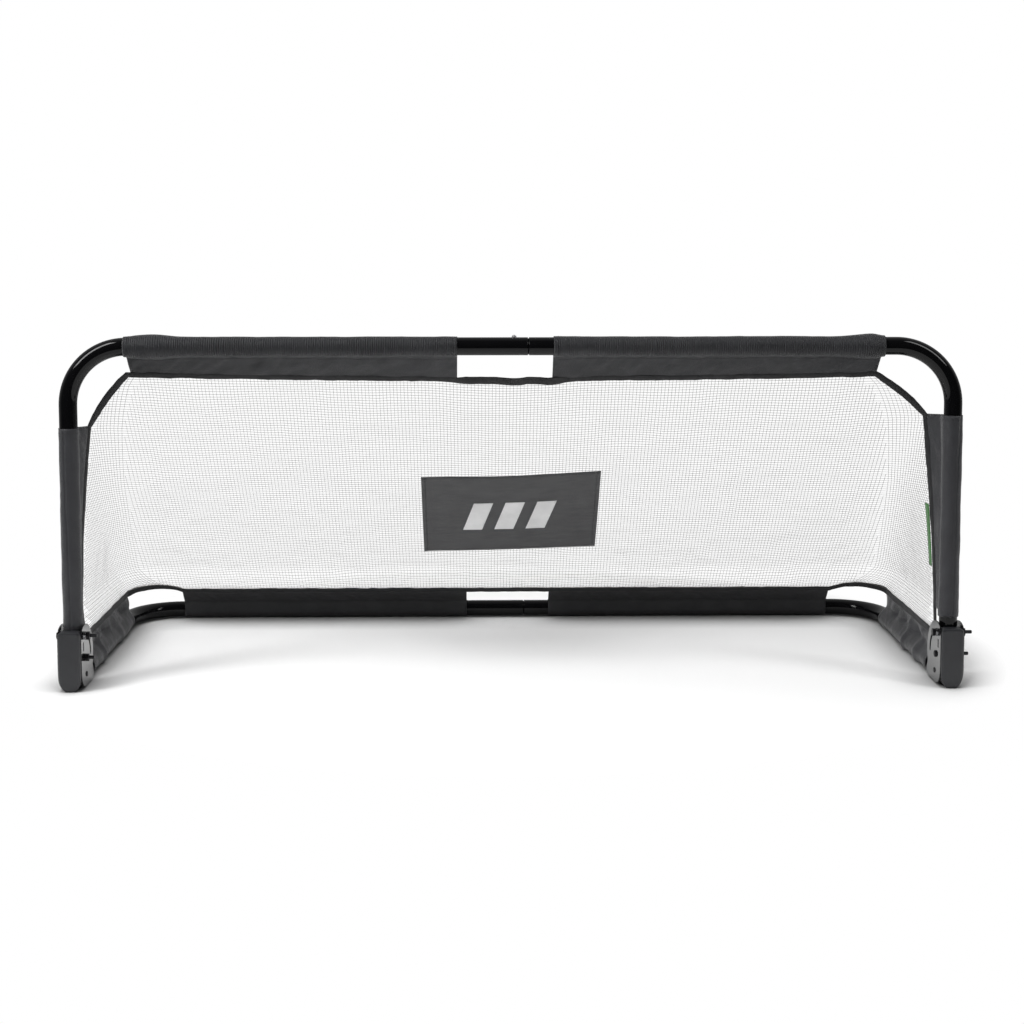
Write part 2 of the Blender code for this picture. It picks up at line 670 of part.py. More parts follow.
def front_edge_right():
    """The net's front border at the right: top corner, leg, and down to the side tube."""
    first, last = top_edge(TOP_END_X), leg_edge(LEG_TOP_Z)
    middle = (first[0] + last[0]) / 2 + Vector((-0.004, 0.002, -0.004))
    stations = [first] + corner_edge(first, last, middle, Vector((0.5, 0, 0.6)), 5)
    stations += [leg_edge(LEG_TOP_Z + (LEG_LOW_Z - LEG_TOP_Z) * i / 6) for i in range(7)]
    control = Vector((LEG_X - 0.004, FRONT_Y + 0.060, 0.078))
    stations += corner_edge(stations[-1], side_edge(SIDE_FRONT), control, Vector((0, -0.1, -0.1)), 4)
    return stations


def bottom_edge_right():
    """The net's lower border at the right: side tube, back corner, half the back bar."""
    stations = [side_edge(SIDE_FRONT + (SIDE_BACK - SIDE_FRONT) * i / 4) for i in range(5)]
    last = back_edge(BACK_END_X)
    control = Vector((0.712, FRONT_Y + 0.482, 0.076))
    stations += corner_edge(stations[-1], last, control, Vector((0.35, 0.45, -0.1)), 5)
    return stations + [back_edge(BACK_END_X * (1 - i / 4)) for i in range(5)]


def mirrored(vector):
    return Vector((-vector.x, vector.y, vector.z))


def edge_binding():
    """One tape round the whole net, sewn between the net and the flaps."""
    top = [top_edge(TOP_END_X * i / 6) for i in range(6)]
    right = top + front_edge_right() + bottom_edge_right()
    left = [(mirrored(p), mirrored(w)) for p, w in reversed(right[1:-1])]
    stations = right + left
    loops = []
    for i, (point, way) in enumerate(stations):
        along = stations[(i + 1) % len(stations)][0] - stations[i - 1][0]
        normal = along.cross(way).normalized() * BINDING_THICKNESS / 2
        wide = way * BINDING_WIDTH / 2
        outer, inner = point + wide, point - wide
        loops.append([outer + normal, outer - normal, inner - normal, inner + normal])
    add("edge_binding", skin(loops, closed=True), TAPE, Vector((0, FRONT_Y, TOP_AXIS_Z)))


def along_line(stations, inset, value, key):
    """The border's inner side where one of its coordinates has a value."""
    points = [p - w * inset for p, w in stations]
    for p, q in zip(points, points[1:]):
        a, b = p[key], q[key]
        if min(a, b) <= value <= max(a, b) and a != b:
            return p.lerp(q, (value - a) / (b - a))
    return points[0] if abs(points[0][key] - value) < abs(points[-1][key] - value) else points[-1]


def back_point(x, v, inset):
    """A point of the net's sloping back, v of the way from the top bar's binding down."""
    top_point, top_way = top_edge(min(abs(x), TOP_END_X))
    low_point, low_way = back_edge(min(abs(x), BACK_END_X))
    point = (top_point - top_way * inset).lerp(low_point - low_way * inset, v)
    point += Vector((0, -sin(SLOPE), -cos(SLOPE))) * NET_SAG * 4 * v * (1 - v)
    return Vector((x, point.y, point.z))


def net_row(v):
    """One level of the net's right half, from its front border to the middle of the
    back: straight along the side, round the corner, straight along the back."""
    inset = BINDING_WIDTH / 2 + NET_MARGIN
    front_points = [p - w * inset for p, w in front_edge_right()]
    top_z, low_z = front_points[0].z, front_points[-1].z
    front = along_line(front_edge_right(), inset, top_z + (low_z - top_z) * v, 2)
    corner_x = 0.632 + 0.092 * min(1, v * 1.15) ** 0.6
    corner = back_point(corner_x, v, inset) + Z * 0.010 * v
    before = corner + (front - corner).normalized() * min(0.14, (front - corner).length * 0.8)
    after = back_point(corner_x - 0.06 - 0.045 * v, v, inset)
    side = [front.lerp(before, i / 5) for i in range(6)]
    bend = []
    for t in (0.17, 0.34, 0.5, 0.66, 0.83):
        bend.append(before * (1 - t) ** 2 + corner * 2 * t * (1 - t) + after * t * t)
    back = [back_point(after.x * (1 - i / 4), v, inset) for i in range(5)]
    return side + bend[:3], bend[2:] + back


def net_panels():
    halves = [net_row(0.01 + 0.965 * i / 9) for i in range(10)]
    back = [[mirrored(p) for p in half[:-1]] + list(reversed(half)) for _, half in halves]
    clear = Vector((0.001, -0.001, 0))
    right = [side[:-1] + [side[-1] + clear] for side, _ in halves[1:]]
    left = [[mirrored(p) for p in row] for row in right]
    origin = Vector((0, FRONT_Y, TOP_AXIS_Z))
    add("net_back", sheet(back, NET_THICKNESS), NET, origin)
    add("net_right", sheet(right, NET_THICKNESS), NET, origin)
    add("net_left", sheet(left, NET_THICKNESS), NET, origin)


def label_patch():
    """The rectangular label sewn to the inside of the net's back."""
    half_width, top, low, tilt = 0.161, 0.3815, 0.755, radians(2.8)
    inward = Vector((0, -sin(SLOPE), -cos(SLOPE))) * LABEL_OFFSET
    grid = []
    for i in range(5):
        across = 1 - 2 * i / 4
        row = []
        for j in range(4):
            v = top + (low - top) * j / 3 - across * half_width * sin(tilt) / NET_DROP
            point = back_point(LABEL_X + across * half_width, v, BINDING_WIDTH / 2 + NET_MARGIN)
            row.append(point + inward)
        grid.append(row)
    add("label_patch", sheet(grid, FABRIC), LABEL, Vector((LABEL_X, FRONT_Y, TOP_AXIS_Z)))


def care_tag():
    """The small green tag on the inside of the net beside the right leg."""
    top, low, front, width = 0.52, 0.745, 0.069, 0.026
    grid = []
    for i in range(4):
        side = net_row(top + (low - top) * i / 3)[0]
        row = []
        for j in range(3):
            y = FRONT_Y + front + width * j / 2
            for p, q in zip(side, side[1:]):
                if p.y <= y <= q.y:
                    row.append(p.lerp(q, (y - p.y) / (q.y - p.y)) - X * LABEL_OFFSET)
                    break
        grid.append(row)
    add("care_tag", sheet(grid, FABRIC), GREEN, grid[0][0])


# ---------------------------------------------------------------- assembly


def build():
    fold_axis = add_empty("front_frame_axis", Vector((0, FRONT_Y, PIVOT_Z)))
    plate_mesh = bracket_plate_mesh()
    for side, label in ((-1, "left"), (1, "right")):
        front_tube(side, fold_axis)
        ground_tube(side)
        bracket_plates(side, plate_mesh, label)
        foot_cap(side, label)
        pivot_hardware(side, label)
        guide_hardware(side, label, fold_axis)
        ground_rivet(side, label)
        leg_sleeve(f"leg_sleeve_{label}", side, fold_axis)
        side_sleeve(f"side_sleeve_{label}", side)
    top_button = Vector((TOP_JOINT_X - BUTTON_FROM_JOINT, FRONT_Y, TOP_AXIS_Z))
    back_button = Vector((BACK_JOINT_X - BUTTON_FROM_JOINT, BACK_Y, GROUND_AXIS_Z))
    lock_button("top_lock_button", top_button, Z, fold_axis)
    lock_button("back_lock_button", back_button, Y, None)
    spring_clip("top_spring_clip", top_button, Z, fold_axis)
    spring_clip("back_spring_clip", back_button, Y)
    top_sleeve("top_sleeve_left", -0.637, -0.0915, fold_axis)
    top_sleeve("top_sleeve_right", 0.068, 0.617, fold_axis)
    back_sleeve("back_sleeve_left", -0.637, -0.081)
    back_sleeve("back_sleeve_right", 0.080, 0.632)
    edge_binding()
    net_panels()
    label_patch()
    care_tag()


build()
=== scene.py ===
"""Visual model of a low folding goal: bent gloss-black tubes, crimped fabric sleeves,
a fine knitted net on an edge tape, hinge brackets and moulded foot caps.

X runs across the goal mouth, +Y to the back, +Z up; lengths are in metres.
"""

from math import cos, pi, radians, sin

import bpy
import numpy as np
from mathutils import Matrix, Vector, noise


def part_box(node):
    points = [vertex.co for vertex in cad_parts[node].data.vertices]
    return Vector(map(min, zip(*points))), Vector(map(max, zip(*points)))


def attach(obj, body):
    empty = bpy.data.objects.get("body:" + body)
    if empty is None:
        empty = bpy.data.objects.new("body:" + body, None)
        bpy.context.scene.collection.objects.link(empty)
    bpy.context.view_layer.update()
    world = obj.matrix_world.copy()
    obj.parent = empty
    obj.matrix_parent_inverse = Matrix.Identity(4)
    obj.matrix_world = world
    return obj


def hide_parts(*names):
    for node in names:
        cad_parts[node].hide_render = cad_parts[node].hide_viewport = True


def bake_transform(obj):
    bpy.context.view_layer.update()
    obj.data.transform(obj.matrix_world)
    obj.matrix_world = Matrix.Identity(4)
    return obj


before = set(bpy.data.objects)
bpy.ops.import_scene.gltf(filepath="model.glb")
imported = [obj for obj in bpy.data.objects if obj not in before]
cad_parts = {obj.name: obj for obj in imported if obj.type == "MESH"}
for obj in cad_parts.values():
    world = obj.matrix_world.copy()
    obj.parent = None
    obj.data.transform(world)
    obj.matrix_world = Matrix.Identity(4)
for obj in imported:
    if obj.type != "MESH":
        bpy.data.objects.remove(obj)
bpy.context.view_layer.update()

# ---------------------------------------------------------------- dimensions

TUBE = 0.015  # radius of all tubes
BORE = 0.0135
BEND = 0.097  # radius of the tube axis in the corners
WRAP = 0.0163  # outside of a sleeve round its tube
CLOTH_THICKNESS = 0.0009
SLOPE = radians(46)  # of the back of the net
TAPE_HALF = 0.0065  # half the width of the edge tape
TAPE_THICK = 0.00125  # half its thickness
TAPE_SIDES = 14
TAPE_HOLD = TAPE_HALF - 0.0015  # from its middle to the edges of net and sleeve under it
NET_SAG = 0.014
NET_LENGTH = 0.628  # down the slope
MESH = 0.0060  # between the net's threads
SIDE_MESH = 0.0076  # between the upright threads of the two sides
THREAD = 0.00026  # reach of a thread's ridges from its middle
GROOVE = 0.00004  # and of the grooves between its strands
SEAM = 0.0245  # of a sleeve's flap, from the tube's axis
SEAM_COLUMN = 12  # of a sleeve's outline, where the seam runs
SLEEVE_LINING = 0.012  # cloth turned in at a sleeve's ends
FLOOR_GAP = 0.0005


def corners(node):
    """The low and high corners of a CAD node's box."""
    low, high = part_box(node)
    return np.array(low, float), np.array(high, float)


LEG_LOW, LEG_HIGH = corners("front_tube_left")
BAR_LOW, BAR_HIGH = corners("ground_tube_left")
FRONT_Y = LEG_LOW[1] + TUBE
LEG_X = -LEG_LOW[0] - TUBE
TOP_Z = LEG_HIGH[2] - TUBE
GROUND_Z = BAR_LOW[2] + TUBE
BACK_Y = BAR_HIGH[1] - TUBE
TOP_JOINT, BACK_JOINT = LEG_HIGH[0], BAR_HIGH[0]
PIVOT_LOW, PIVOT_HIGH = corners("pivot_bolt_left")
PIVOT_Z = (PIVOT_LOW[2] + PIVOT_HIGH[2]) / 2

X, Y, Z = np.eye(3)
DOWN = Y * cos(SLOPE) - Z * sin(SLOPE)
INWARD = -Y * sin(SLOPE) - Z * cos(SLOPE)
SIDE_LEAN = radians(4)  # of the side sleeves' flaps toward the middle

# From a tube's axis to the middle of the tape
LEG_REACH, SIDE_REACH, BACK_REACH = 0.060, 0.053, 0.063
LEG_END = 0.118  # height at which the tape leaves a leg
SIDE_START, SIDE_END = 0.084, 0.430  # along a side tube, from the legs' axes
BACK_END = 0.634  # along the back bar, from the middle

# What differs between the left (-1) and the right (+1) side of this goal
TOP_END = {-1: 0.646, 1: 0.6155}  # where the net's top corner hangs from the bar
LEG_TOP = {-1: 0.432, 1: 0.451}
TOP_SLEEVES = {-1: (-0.641, -0.0915), 1: (0.068, 0.6175)}
BACK_SLEEVES = {-1: (-0.637, -0.081), 1: (0.080, 0.632)}
LEG_SLEEVES = {-1: (0.0985, 0.438, 0.018), 1: (0.117, 0.457, 0.006)}  # low, high, notch
LEG_TURN = {-1: (1.5, 20, 1.9), 1: (7, 25, 1.65)}  # degrees at the foot, gain, power

# Folds across the two side sleeves: place along the tube, half-width, height
PLEATS = {
    -1: ((0.085, 0.007, 0.0050), (0.240, 0.012, 0.0035)),
    1: ((0.075, 0.012, 0.0030), (0.160, 0.009, 0.0040)),
}


def smooth(value, start, end):
    """0 before the start, 1 past the end, and a smooth step between them."""
    t = np.clip((np.asarray(value, float) - start) / (end - start), 0, 1)
    return t * t * (3 - 2 * t)


def wander(point, scale, seed=0.0):
    """Smooth noise of about -1 to 1 at a point."""
    return noise.noise(Vector(point) / scale + Vector((seed, 2 * seed, 3 * seed)))


def crease(point, scale, seed=0.0):
    """Noise with narrow ridges, as in cloth that is pulled tight between two seams."""
    return 0.35 - 2.2 * abs(wander(point, scale, seed))


# ---------------------------------------------------------------- materials

CRIMP_PITCH = 0.0037
PLEAT_HALF = 0.0032


class Material:
    """A Principled material with a few procedural layers."""

    def __init__(self, name, color, roughness):
        self.material = bpy.data.materials.new(name)
        self.material.use_nodes = True
        self.tree = self.material.node_tree
        self.shader = self.tree.nodes["Principled BSDF"]
        self.color = color
        self.set("Base Color", (*color, 1))
        self.set("Roughness", roughness)

    def set(self, socket, value):
        self.shader.inputs[socket].default_value = value

    def node(self, kind, **values):
        made = self.tree.nodes.new(kind)
        for key, value in values.items():
            if hasattr(made, key):
                setattr(made, key, value)
            else:
                made.inputs[key.replace("_", " ")].default_value = value
        return made

    def link(self, source, target):
        self.tree.links.new(source, target)

    def math(self, operation, a, b=None):
        made = self.node("ShaderNodeMath", operation=operation)
        for socket, value in zip(made.inputs, (a, b)):
            if isinstance(value, (int, float)):
                socket.default_value = value
            elif value is not None:
                self.link(value, socket)
        return made.outputs[0]

    def place(self, uv):
        if uv:
            return self.node("ShaderNodeUVMap", uv_map="cloth").outputs["UV"]
        return self.node("ShaderNodeTexCoord").outputs["Object"]

    def noise(self, scale, detail=3.0, uv=False, stretch=(1, 1, 1)):
        mapping = self.node("ShaderNodeMapping")
        mapping.inputs["Scale"].default_value = stretch
        self.link(self.place(uv), mapping.inputs["Vector"])
        made = self.node("ShaderNodeTexNoise", Scale=scale, Detail=detail)
        self.link(mapping.outputs["Vector"], made.inputs["Vector"])
        return made.outputs[0]

    def ramp(self, value, low, high, to_low, to_high):
        limits = {"From_Min": low, "From_Max": high, "To_Min": to_low, "To_Max": to_high}
        made = self.node("ShaderNodeMapRange", **limits)
        self.link(value, made.inputs["Value"])
        return made.outputs["Result"]

    def shade(self, value, dark, light):
        """Varies the base colour between dark and light times its value."""
        made = self.node("ShaderNodeMix", data_type="RGBA")
        made.inputs["A"].default_value = (*(c * dark for c in self.color), 1)
        made.inputs["B"].default_value = (*(c * light for c in self.color), 1)
        self.link(value, made.inputs["Factor"])
        self.link(made.outputs["Result"], self.shader.inputs["Base Color"])

    def gloss(self, value, low, high):
        self.link(self.ramp(value, 0.3, 0.7, low, high), self.shader.inputs["Roughness"])

    def bump(self, height, distance, strength=1.0):
        made = self.node("ShaderNodeBump", Distance=distance, Strength=strength)
        self.link(height, made.inputs["Height"])
        if self.shader.inputs["Normal"].is_linked:
            self.link(self.shader.inputs["Normal"].links[0].from_socket, made.inputs["Normal"])
        self.link(made.outputs["Normal"], self.shader.inputs["Normal"])

    def cloth_place(self):
        """Distances along and round the cloth, in metres."""
        split = self.node("ShaderNodeSeparateXYZ")
        self.link(self.place(True), split.inputs[0])
        return split.outputs[0], split.outputs[1]

    def weave(self, pitch, distance):
        """Plain weave over the cloth coordinates."""
        waves = [
            self.math("SINE", self.math("MULTIPLY", place, 2 * pi / pitch)) for place in self.cloth_place()
        ]
        self.bump(self.math("MULTIPLY", *waves), distance)

    def crimp(self, depth):
        """Uneven ripples round the tube, over the part of the cloth that faces up."""
        along, round_tube = self.cloth_place()
        drift = self.math("MULTIPLY", self.noise(38.0, uv=True, stretch=(1, 0.25, 1)), 9.0)
        phase = self.math("ADD", self.math("MULTIPLY", along, 2 * pi / CRIMP_PITCH), drift)
        patches = self.ramp(self.noise(9.0, 2.0, uv=True), 0.38, 0.62, 0.25, 1.0)
        rise = self.ramp(round_tube, -0.022, -0.014, 0.0, 1.0)
        fall = self.ramp(round_tube, 0.027, 0.036, 1.0, 0.0)
        height = self.math("MULTIPLY", patches, self.math("MULTIPLY", rise, fall))
        self.bump(self.math("MULTIPLY", self.math("SINE", phase), height), depth)

    def pleat(self, depth):
        """One long groove that wanders along the outside of the tube."""
        _, round_tube = self.cloth_place()
        drift = self.ramp(self.noise(7.0, uv=True, stretch=(1, 0, 0)), 0.3, 0.7, -0.002, 0.002)
        place = self.math("ADD", round_tube, drift)
        self.bump(self.ramp(self.math("ABSOLUTE", place), 0.0, PLEAT_HALF, 0.0, 1.0), depth)


def hard(name, color, low, high, bump=0.0, scale=900.0, coat=0.0, metallic=0.0, mirror=0.5):
    made = Material(name, color, (low + high) / 2)
    made.gloss(made.noise(14.0), low, high)
    made.shade(made.noise(60.0), 0.8, 1.2)
    made.set("Metallic", metallic)
    made.set("Specular IOR Level", mirror)
    made.set("Coat Weight", coat)
    made.set("Coat Roughness", 0.06)
    if bump:
        made.bump(made.noise(scale, 2.0), bump)
    return made.material


def cloth_material(name, color, pitch=0.0009, crimp=0.0, pleat=0.0, sheen=0.25, roughness=0.5):
    made = Material(name, color, roughness)
    made.set("Sheen Weight", sheen)
    made.set("Sheen Roughness", 0.4)
    made.gloss(made.noise(30.0, uv=True), roughness - 0.07, roughness + 0.09)
    made.shade(made.noise(18.0, 5.0, uv=True), 0.72, 1.28)
    if crimp:
        made.crimp(crimp)
    if pleat:
        made.pleat(pleat)
    made.bump(made.noise(55.0, 4.0, uv=True, stretch=(0.4, 1, 1)), 0.0016)
    made.weave(pitch, 0.00006)
    return made.material


PAINT = hard("gloss_black_paint", (0.0030, 0.0030, 0.0034), 0.05, 0.10, 0.00001, 400.0, mirror=0.25)
PLATE = hard("bracket_black_paint", (0.008, 0.008, 0.009), 0.07, 0.15, 0.00002, 500.0, coat=0.5)
PLASTIC = hard("foot_cap_plastic", (0.0185, 0.0192, 0.0217), 0.30, 0.42, 0.00010, 2600.0)
BOLT = hard("black_zinc", (0.018, 0.018, 0.02), 0.25, 0.42, 0.00004, 1500.0, metallic=0.6)
ZINC = hard("bright_zinc", (0.62, 0.62, 0.64), 0.16, 0.34, 0.00003, 1200.0, metallic=1.0)
STEEL = hard("spring_steel", (0.72, 0.72, 0.74), 0.25, 0.4, 0.00003, 1200.0, metallic=1.0)
NYLON = hard("black_nylon", (0.015, 0.015, 0.016), 0.38, 0.5, 0.00005, 1800.0)
SLEEVE = cloth_material("sleeve_cloth", (0.0235, 0.024, 0.0275))
LEG_CLOTH = cloth_material("sleeve_cloth_pleated", (0.0225, 0.023, 0.0265), pleat=0.0013)
CRIMPED = cloth_material("sleeve_cloth_crimped", (0.0104, 0.0108, 0.0134), crimp=0.0010, sheen=0.18)
# Darker copy of the sleeve cloth for the back sleeves: its colour is painted shade.
PAINTED_SHADE_SLEEVE_CLOTH = cloth_material("sleeve_cloth_painted_shade", (0.0120, 0.0122, 0.0140), sheen=0.15)
TAPE = cloth_material("edge_tape", (0.010, 0.010, 0.011), 0.0016, sheen=0.1, roughness=0.7)
LABEL = cloth_material("label_cloth", (0.058, 0.058, 0.060), 0.0008, roughness=0.62)
INK = cloth_material("label_ink", (0.82, 0.82, 0.82), 0.0008, roughness=0.5)
TAG = cloth_material("tag_cloth", (0.020, 0.145, 0.012), 0.0008)
SEWING = hard("sewing_thread", (0.012, 0.012, 0.013), 0.5, 0.7)
THREADS = hard("net_thread", (0.145, 0.137, 0.132), 0.6, 0.8)

# ---------------------------------------------------------------- mesh builders


def unit(vectors):
    return vectors / (np.linalg.norm(vectors, axis=-1, keepdims=True) + 1e-12)


def reaches(line):
    """Distance of each point of a polyline along it."""
    return np.concatenate(([0], np.cumsum(np.linalg.norm(np.diff(line, axis=0), axis=1))))


def at_reach(line, measure, places):
    """Points of a polyline at the given places of a measure along it."""
    return np.stack([np.interp(places, measure, line[:, k]) for k in range(3)], -1)


def resampled(line, count):
    """The polyline at equal steps along it."""
    reach = reaches(line)
    return at_reach(line, reach, np.linspace(0, reach[-1], count))


def new_object(name, points, faces, material, cloth=None):
    mesh = bpy.data.meshes.new(name)
    mesh.from_pydata(np.asarray(points, float).tolist(), [], np.asarray(faces).tolist())
    mesh.polygons.foreach_set("use_smooth", [True] * len(mesh.polygons))
    mesh.materials.append(material)
    if cloth is not None:
        layer = mesh.uv_layers.new(name="cloth")
        index = np.empty(len(mesh.loops), int)
        mesh.loops.foreach_get("vertex_index", index)
        layer.data.foreach_set("uv", np.asarray(cloth, float)[index].ravel())
    made = bpy.data.objects.new(name, mesh)
    bpy.context.scene.collection.objects.link(made)
    return made


def grid_faces(rows, columns, closed=False):
    """Quads over a grid of points, the columns' ends joined if it is closed."""
    steps = columns if closed else columns - 1
    i, j = np.meshgrid(np.arange(rows - 1), np.arange(steps), indexing="ij")
    k = (j + 1) % columns
    quads = (i * columns + j, i * columns + k, (i + 1) * columns + k, (i + 1) * columns + j)
    return np.stack(quads, -1).reshape(-1, 4)


def cloth_sheet(name, grid, uv, material, thickness):
    """A closed cloth piece: a grid of points given thickness, its edges closed."""
    rows, columns, _ = grid.shape
    normal = unit(np.cross(np.gradient(grid, axis=0), np.gradient(grid, axis=1)))
    faces = grid_faces(rows, columns)
    count = rows * columns
    rim = np.concatenate((
        np.arange(columns - 1),
        np.arange(rows - 1) * columns + columns - 1,
        count - 1 - np.arange(columns - 1),
        (rows - 1 - np.arange(rows - 1)) * columns,
    ))
    ahead = np.roll(rim, -1)
    walls = np.stack((rim, rim + count, ahead + count, ahead), 1)
    upper, lower = grid + normal * thickness / 2, grid - normal * thickness / 2
    points = np.concatenate((upper.reshape(-1, 3), lower.reshape(-1, 3)))
    faces = np.concatenate((faces[:, ::-1], faces + count, walls[:, ::-1]))
    return new_object(name, points, faces, material, np.tile(uv.reshape(-1, 2), (2, 1)))


def thread_tubes(name, lines, radius, material, groove=None):
    """Many threads in one piece, each a polyline with a small square section, or one of
    four ridges with grooves between them where the strands of the thread meet."""
    points, faces, count = [], [], 0
    sides = 8 if groove else 4
    angles = np.arange(sides) * 2 * pi / sides + pi / 4
    reach = np.full(sides, radius)
    if groove:
        reach[1::2] = groove
    for line in lines:
        line = np.asarray(line, float)
        tangent = unit(np.gradient(line, axis=0))
        side = unit(np.cross(tangent, INWARD + 0.31 * X))  # no thread runs this way
        other = np.cross(tangent, side)
        ring = side[:, None] * np.cos(angles)[:, None] + other[:, None] * np.sin(angles)[:, None]
        points.append((line[:, None] + ring * reach[:, None]).reshape(-1, 3))
        faces.append(grid_faces(len(line), sides, closed=True) + count)
        count += len(line) * sides
    return new_object(name, np.concatenate(points), np.concatenate(faces), material)


def stitches(name, path, length=0.0042, gap=0.0016, radius=0.0003):
    """A row of sewing stitches along a polyline of points."""
    path = np.asarray(path, float)
    reach = reaches(path)
    lines = []
    start = gap
    while start + length < reach[-1]:
        lines.append(at_reach(path, reach, start + length * np.array((0, 0.25, 0.75, 1))))
        start += length + gap
    return thread_tubes(name, lines, radius, SEWING)


# ---------------------------------------------------------------- folding

TUBE_SIDE = (0.690, 0.708)  # across from the middle, where the side tubes begin to bear the net
FOLD_GAP = 0.0012  # between the folded net and a side sleeve
FOLD_SPREAD = 0.012  # share of its height that the folded net keeps between the tubes


def fold_weights(points):
    """Share of the fold that carries each point down flat without passing the tubes."""
    y, z = points[:, 1] - FRONT_Y, points[:, 2] - PIVOT_Z
    reach = np.hypot(y, z) + 1e-9
    angle = np.arctan2(z, y)
    over_tube = smooth(np.abs(points[:, 0]), *TUBE_SIDE)
    low = GROUND_Z + WRAP + FOLD_GAP - PIVOT_Z
    flat = np.arcsin(np.clip(low * over_tube / reach, -0.9, 0.9)) + FOLD_SPREAD * angle * (1 - over_tube)
    return np.clip((angle - flat) / (pi / 2), 0, 1)


def soft(obj, nodes=(), stiff=None):
    """Bakes the piece's transform and hides the CAD nodes it stands for; the shares of the fold, stiff
    being the share that follows the front frame, are worked out but not applied.
    """
    points = np.empty(len(obj.data.vertices) * 3)
    obj.data.vertices.foreach_get("co", points)
    weights = fold_weights(points.reshape(-1, 3))
    if stiff is not None:
        weights = weights * (1 - stiff) + stiff
    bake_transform(obj)
    return finished(obj, nodes)


def rigid(obj, body, nodes=()):
    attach(obj, body)
    return finished(obj, nodes)


def finished(obj, nodes):
    if nodes:
        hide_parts(*nodes)
    return obj


# ---------------------------------------------------------------- tubes


def bent_path(end, corner, last, step=0.02):
    """Tube axis from an end, round one corner of the bend radius, to its other end."""
    end, corner, last = (np.array(p, float) for p in (end, corner, last))
    first, second = unit(end - corner), unit(last - corner)
    centre = corner + (first + second) * BEND
    turns = np.linspace(0, pi / 2, 33)[:, None]
    arc = centre - second * BEND * np.cos(turns) - first * BEND * np.sin(turns)
    start = np.linspace(0, 1, int(np.linalg.norm(end - arc[0]) / step) + 2)[:-1, None]
    finish = np.linspace(0, 1, int(np.linalg.norm(last - arc[-1]) / step) + 2)[1:, None]
    return np.concatenate((end + (arc[0] - end) * start, arc, arc[-1] + (last - arc[-1]) * finish))


def tube(name, path, normal, ends, sides=48):
    """A round tube along a flat path; ends gives (radius, distance in) rings at each end."""
    tangent = unit(np.gradient(path, axis=0))
    rings = [(path[0] + tangent[0] * into, tangent[0], radius) for radius, into in reversed(ends[0])]
    rings += [(point, way, TUBE) for point, way in zip(path[1:-1], tangent[1:-1])]
    rings += [(path[-1] - tangent[-1] * into, tangent[-1], radius) for radius, into in ends[1]]
    angles = np.arange(sides) * 2 * pi / sides
    points = []
    for centre, way, radius in rings:
        circle = normal * np.cos(angles)[:, None] + np.cross(way, normal) * np.sin(angles)[:, None]
        points.append(centre + radius * circle)
    faces = grid_faces(len(rings), sides, closed=True)
    return new_object(name, np.concatenate(points), faces, PAINT)


# Rings of a tube's end, from the outside in: radius, distance in from the end
OPEN_END = (
    (TUBE, 0.0012),
    (TUBE - 0.0002, 0.0003),
    (TUBE - 0.0005, 0),
    (BORE + 0.0002, 0),
    (BORE, 0.0004),
    (BORE, 0.06),
)
NECK, NECK_BORE = 0.0132, 0.0118  # of the narrow end that slides into the other half
NECK_END = (
    (TUBE, 0.0014),
    (TUBE - 0.0003, 0.0007),
    (NECK, 0.0002),
    (NECK, -0.055),
    (NECK_BORE, -0.055),
    (NECK_BORE, -0.03),
)
JOINT_GAP = 0.0009  # between the two halves of a bar


def tubes():
    for side, label in ((-1, "left"), (1, "right")):
        joint = 0 if side < 0 else JOINT_GAP
        end = OPEN_END if side < 0 else NECK_END
        leg = bent_path(
            (side * LEG_X, FRONT_Y, LEG_LOW[2]),
            (side * LEG_X, FRONT_Y, TOP_Z),
            (TOP_JOINT + joint, FRONT_Y, TOP_Z),
        )
        bar = bent_path(
            (side * LEG_X, BAR_LOW[1], GROUND_Z),
            (side * LEG_X, BACK_Y, GROUND_Z),
            (BACK_JOINT + joint, BACK_Y, GROUND_Z),
        )
        made = tube(f"front_tube_{label}_round", leg, Y, (OPEN_END, end))
        rigid(made, "front_frame", [f"front_tube_{label}"])
        made = tube(f"ground_tube_{label}_round", bar, Z, (OPEN_END, end))
        rigid(made, "ground_frame", [f"ground_tube_{label}"])


# ---------------------------------------------------------------- the net's border


# Pulls of the tape's curves on the right side: out from the middle of the top corner's
# chord, and the control points at the foot and at the low back corner
TOP_PULL = np.array((0.007, 0, 0.006))
FOOT_PULL = np.array((LEG_X - 0.004, FRONT_Y + 0.060, 0.078))
BACK_PULL = np.array((0.690, FRONT_Y + 0.510, 0.079))
# What turns the way out of the net there
TOP_WAY = np.array((0.5, 0, 0.6))
FOOT_WAY = np.array((0, -0.1, -0.1))
BACK_WAY = np.array((0.35, 0.45, -0.1))


def top_reach(x):
    """From the top bar's axis to the tape, which hangs lower where the bar is bare."""
    bare = max(0, 1 - (x / 0.16) ** 2) ** 2
    return 0.070 + 0.011 * (1 - (x / 0.63) ** 2) + 0.008 * bare


def leg_turn(side, z):
    """How far a leg sleeve's flap is turned from straight back toward the middle."""
    low, gain, power = LEG_TURN[side]
    return radians(low + gain * max(0, (z - 0.11) / 0.33) ** power)


def leg_inward(side, z):
    """From a leg toward its tape."""
    turn = leg_turn(side, z)
    return Y * cos(turn) - X * side * sin(turn)


def side_up(side):
    """From a side tube toward its tape."""
    return Z * cos(SIDE_LEAN) - X * side * sin(SIDE_LEAN)


def top_border(side, x):
    return np.array((side * x, FRONT_Y, TOP_Z)) + DOWN * top_reach(x), -DOWN


def leg_border(side, z):
    inward = leg_inward(side, z)
    return np.array((side * LEG_X, FRONT_Y, z)) + inward * LEG_REACH, -inward


def side_border(side, y):
    up = side_up(side)
    return np.array((side * LEG_X, FRONT_Y + y, GROUND_Z)) + up * SIDE_REACH, -up


def back_border(side, x):
    return np.array((side * x, BACK_Y, GROUND_Z)) - DOWN * BACK_REACH, DOWN


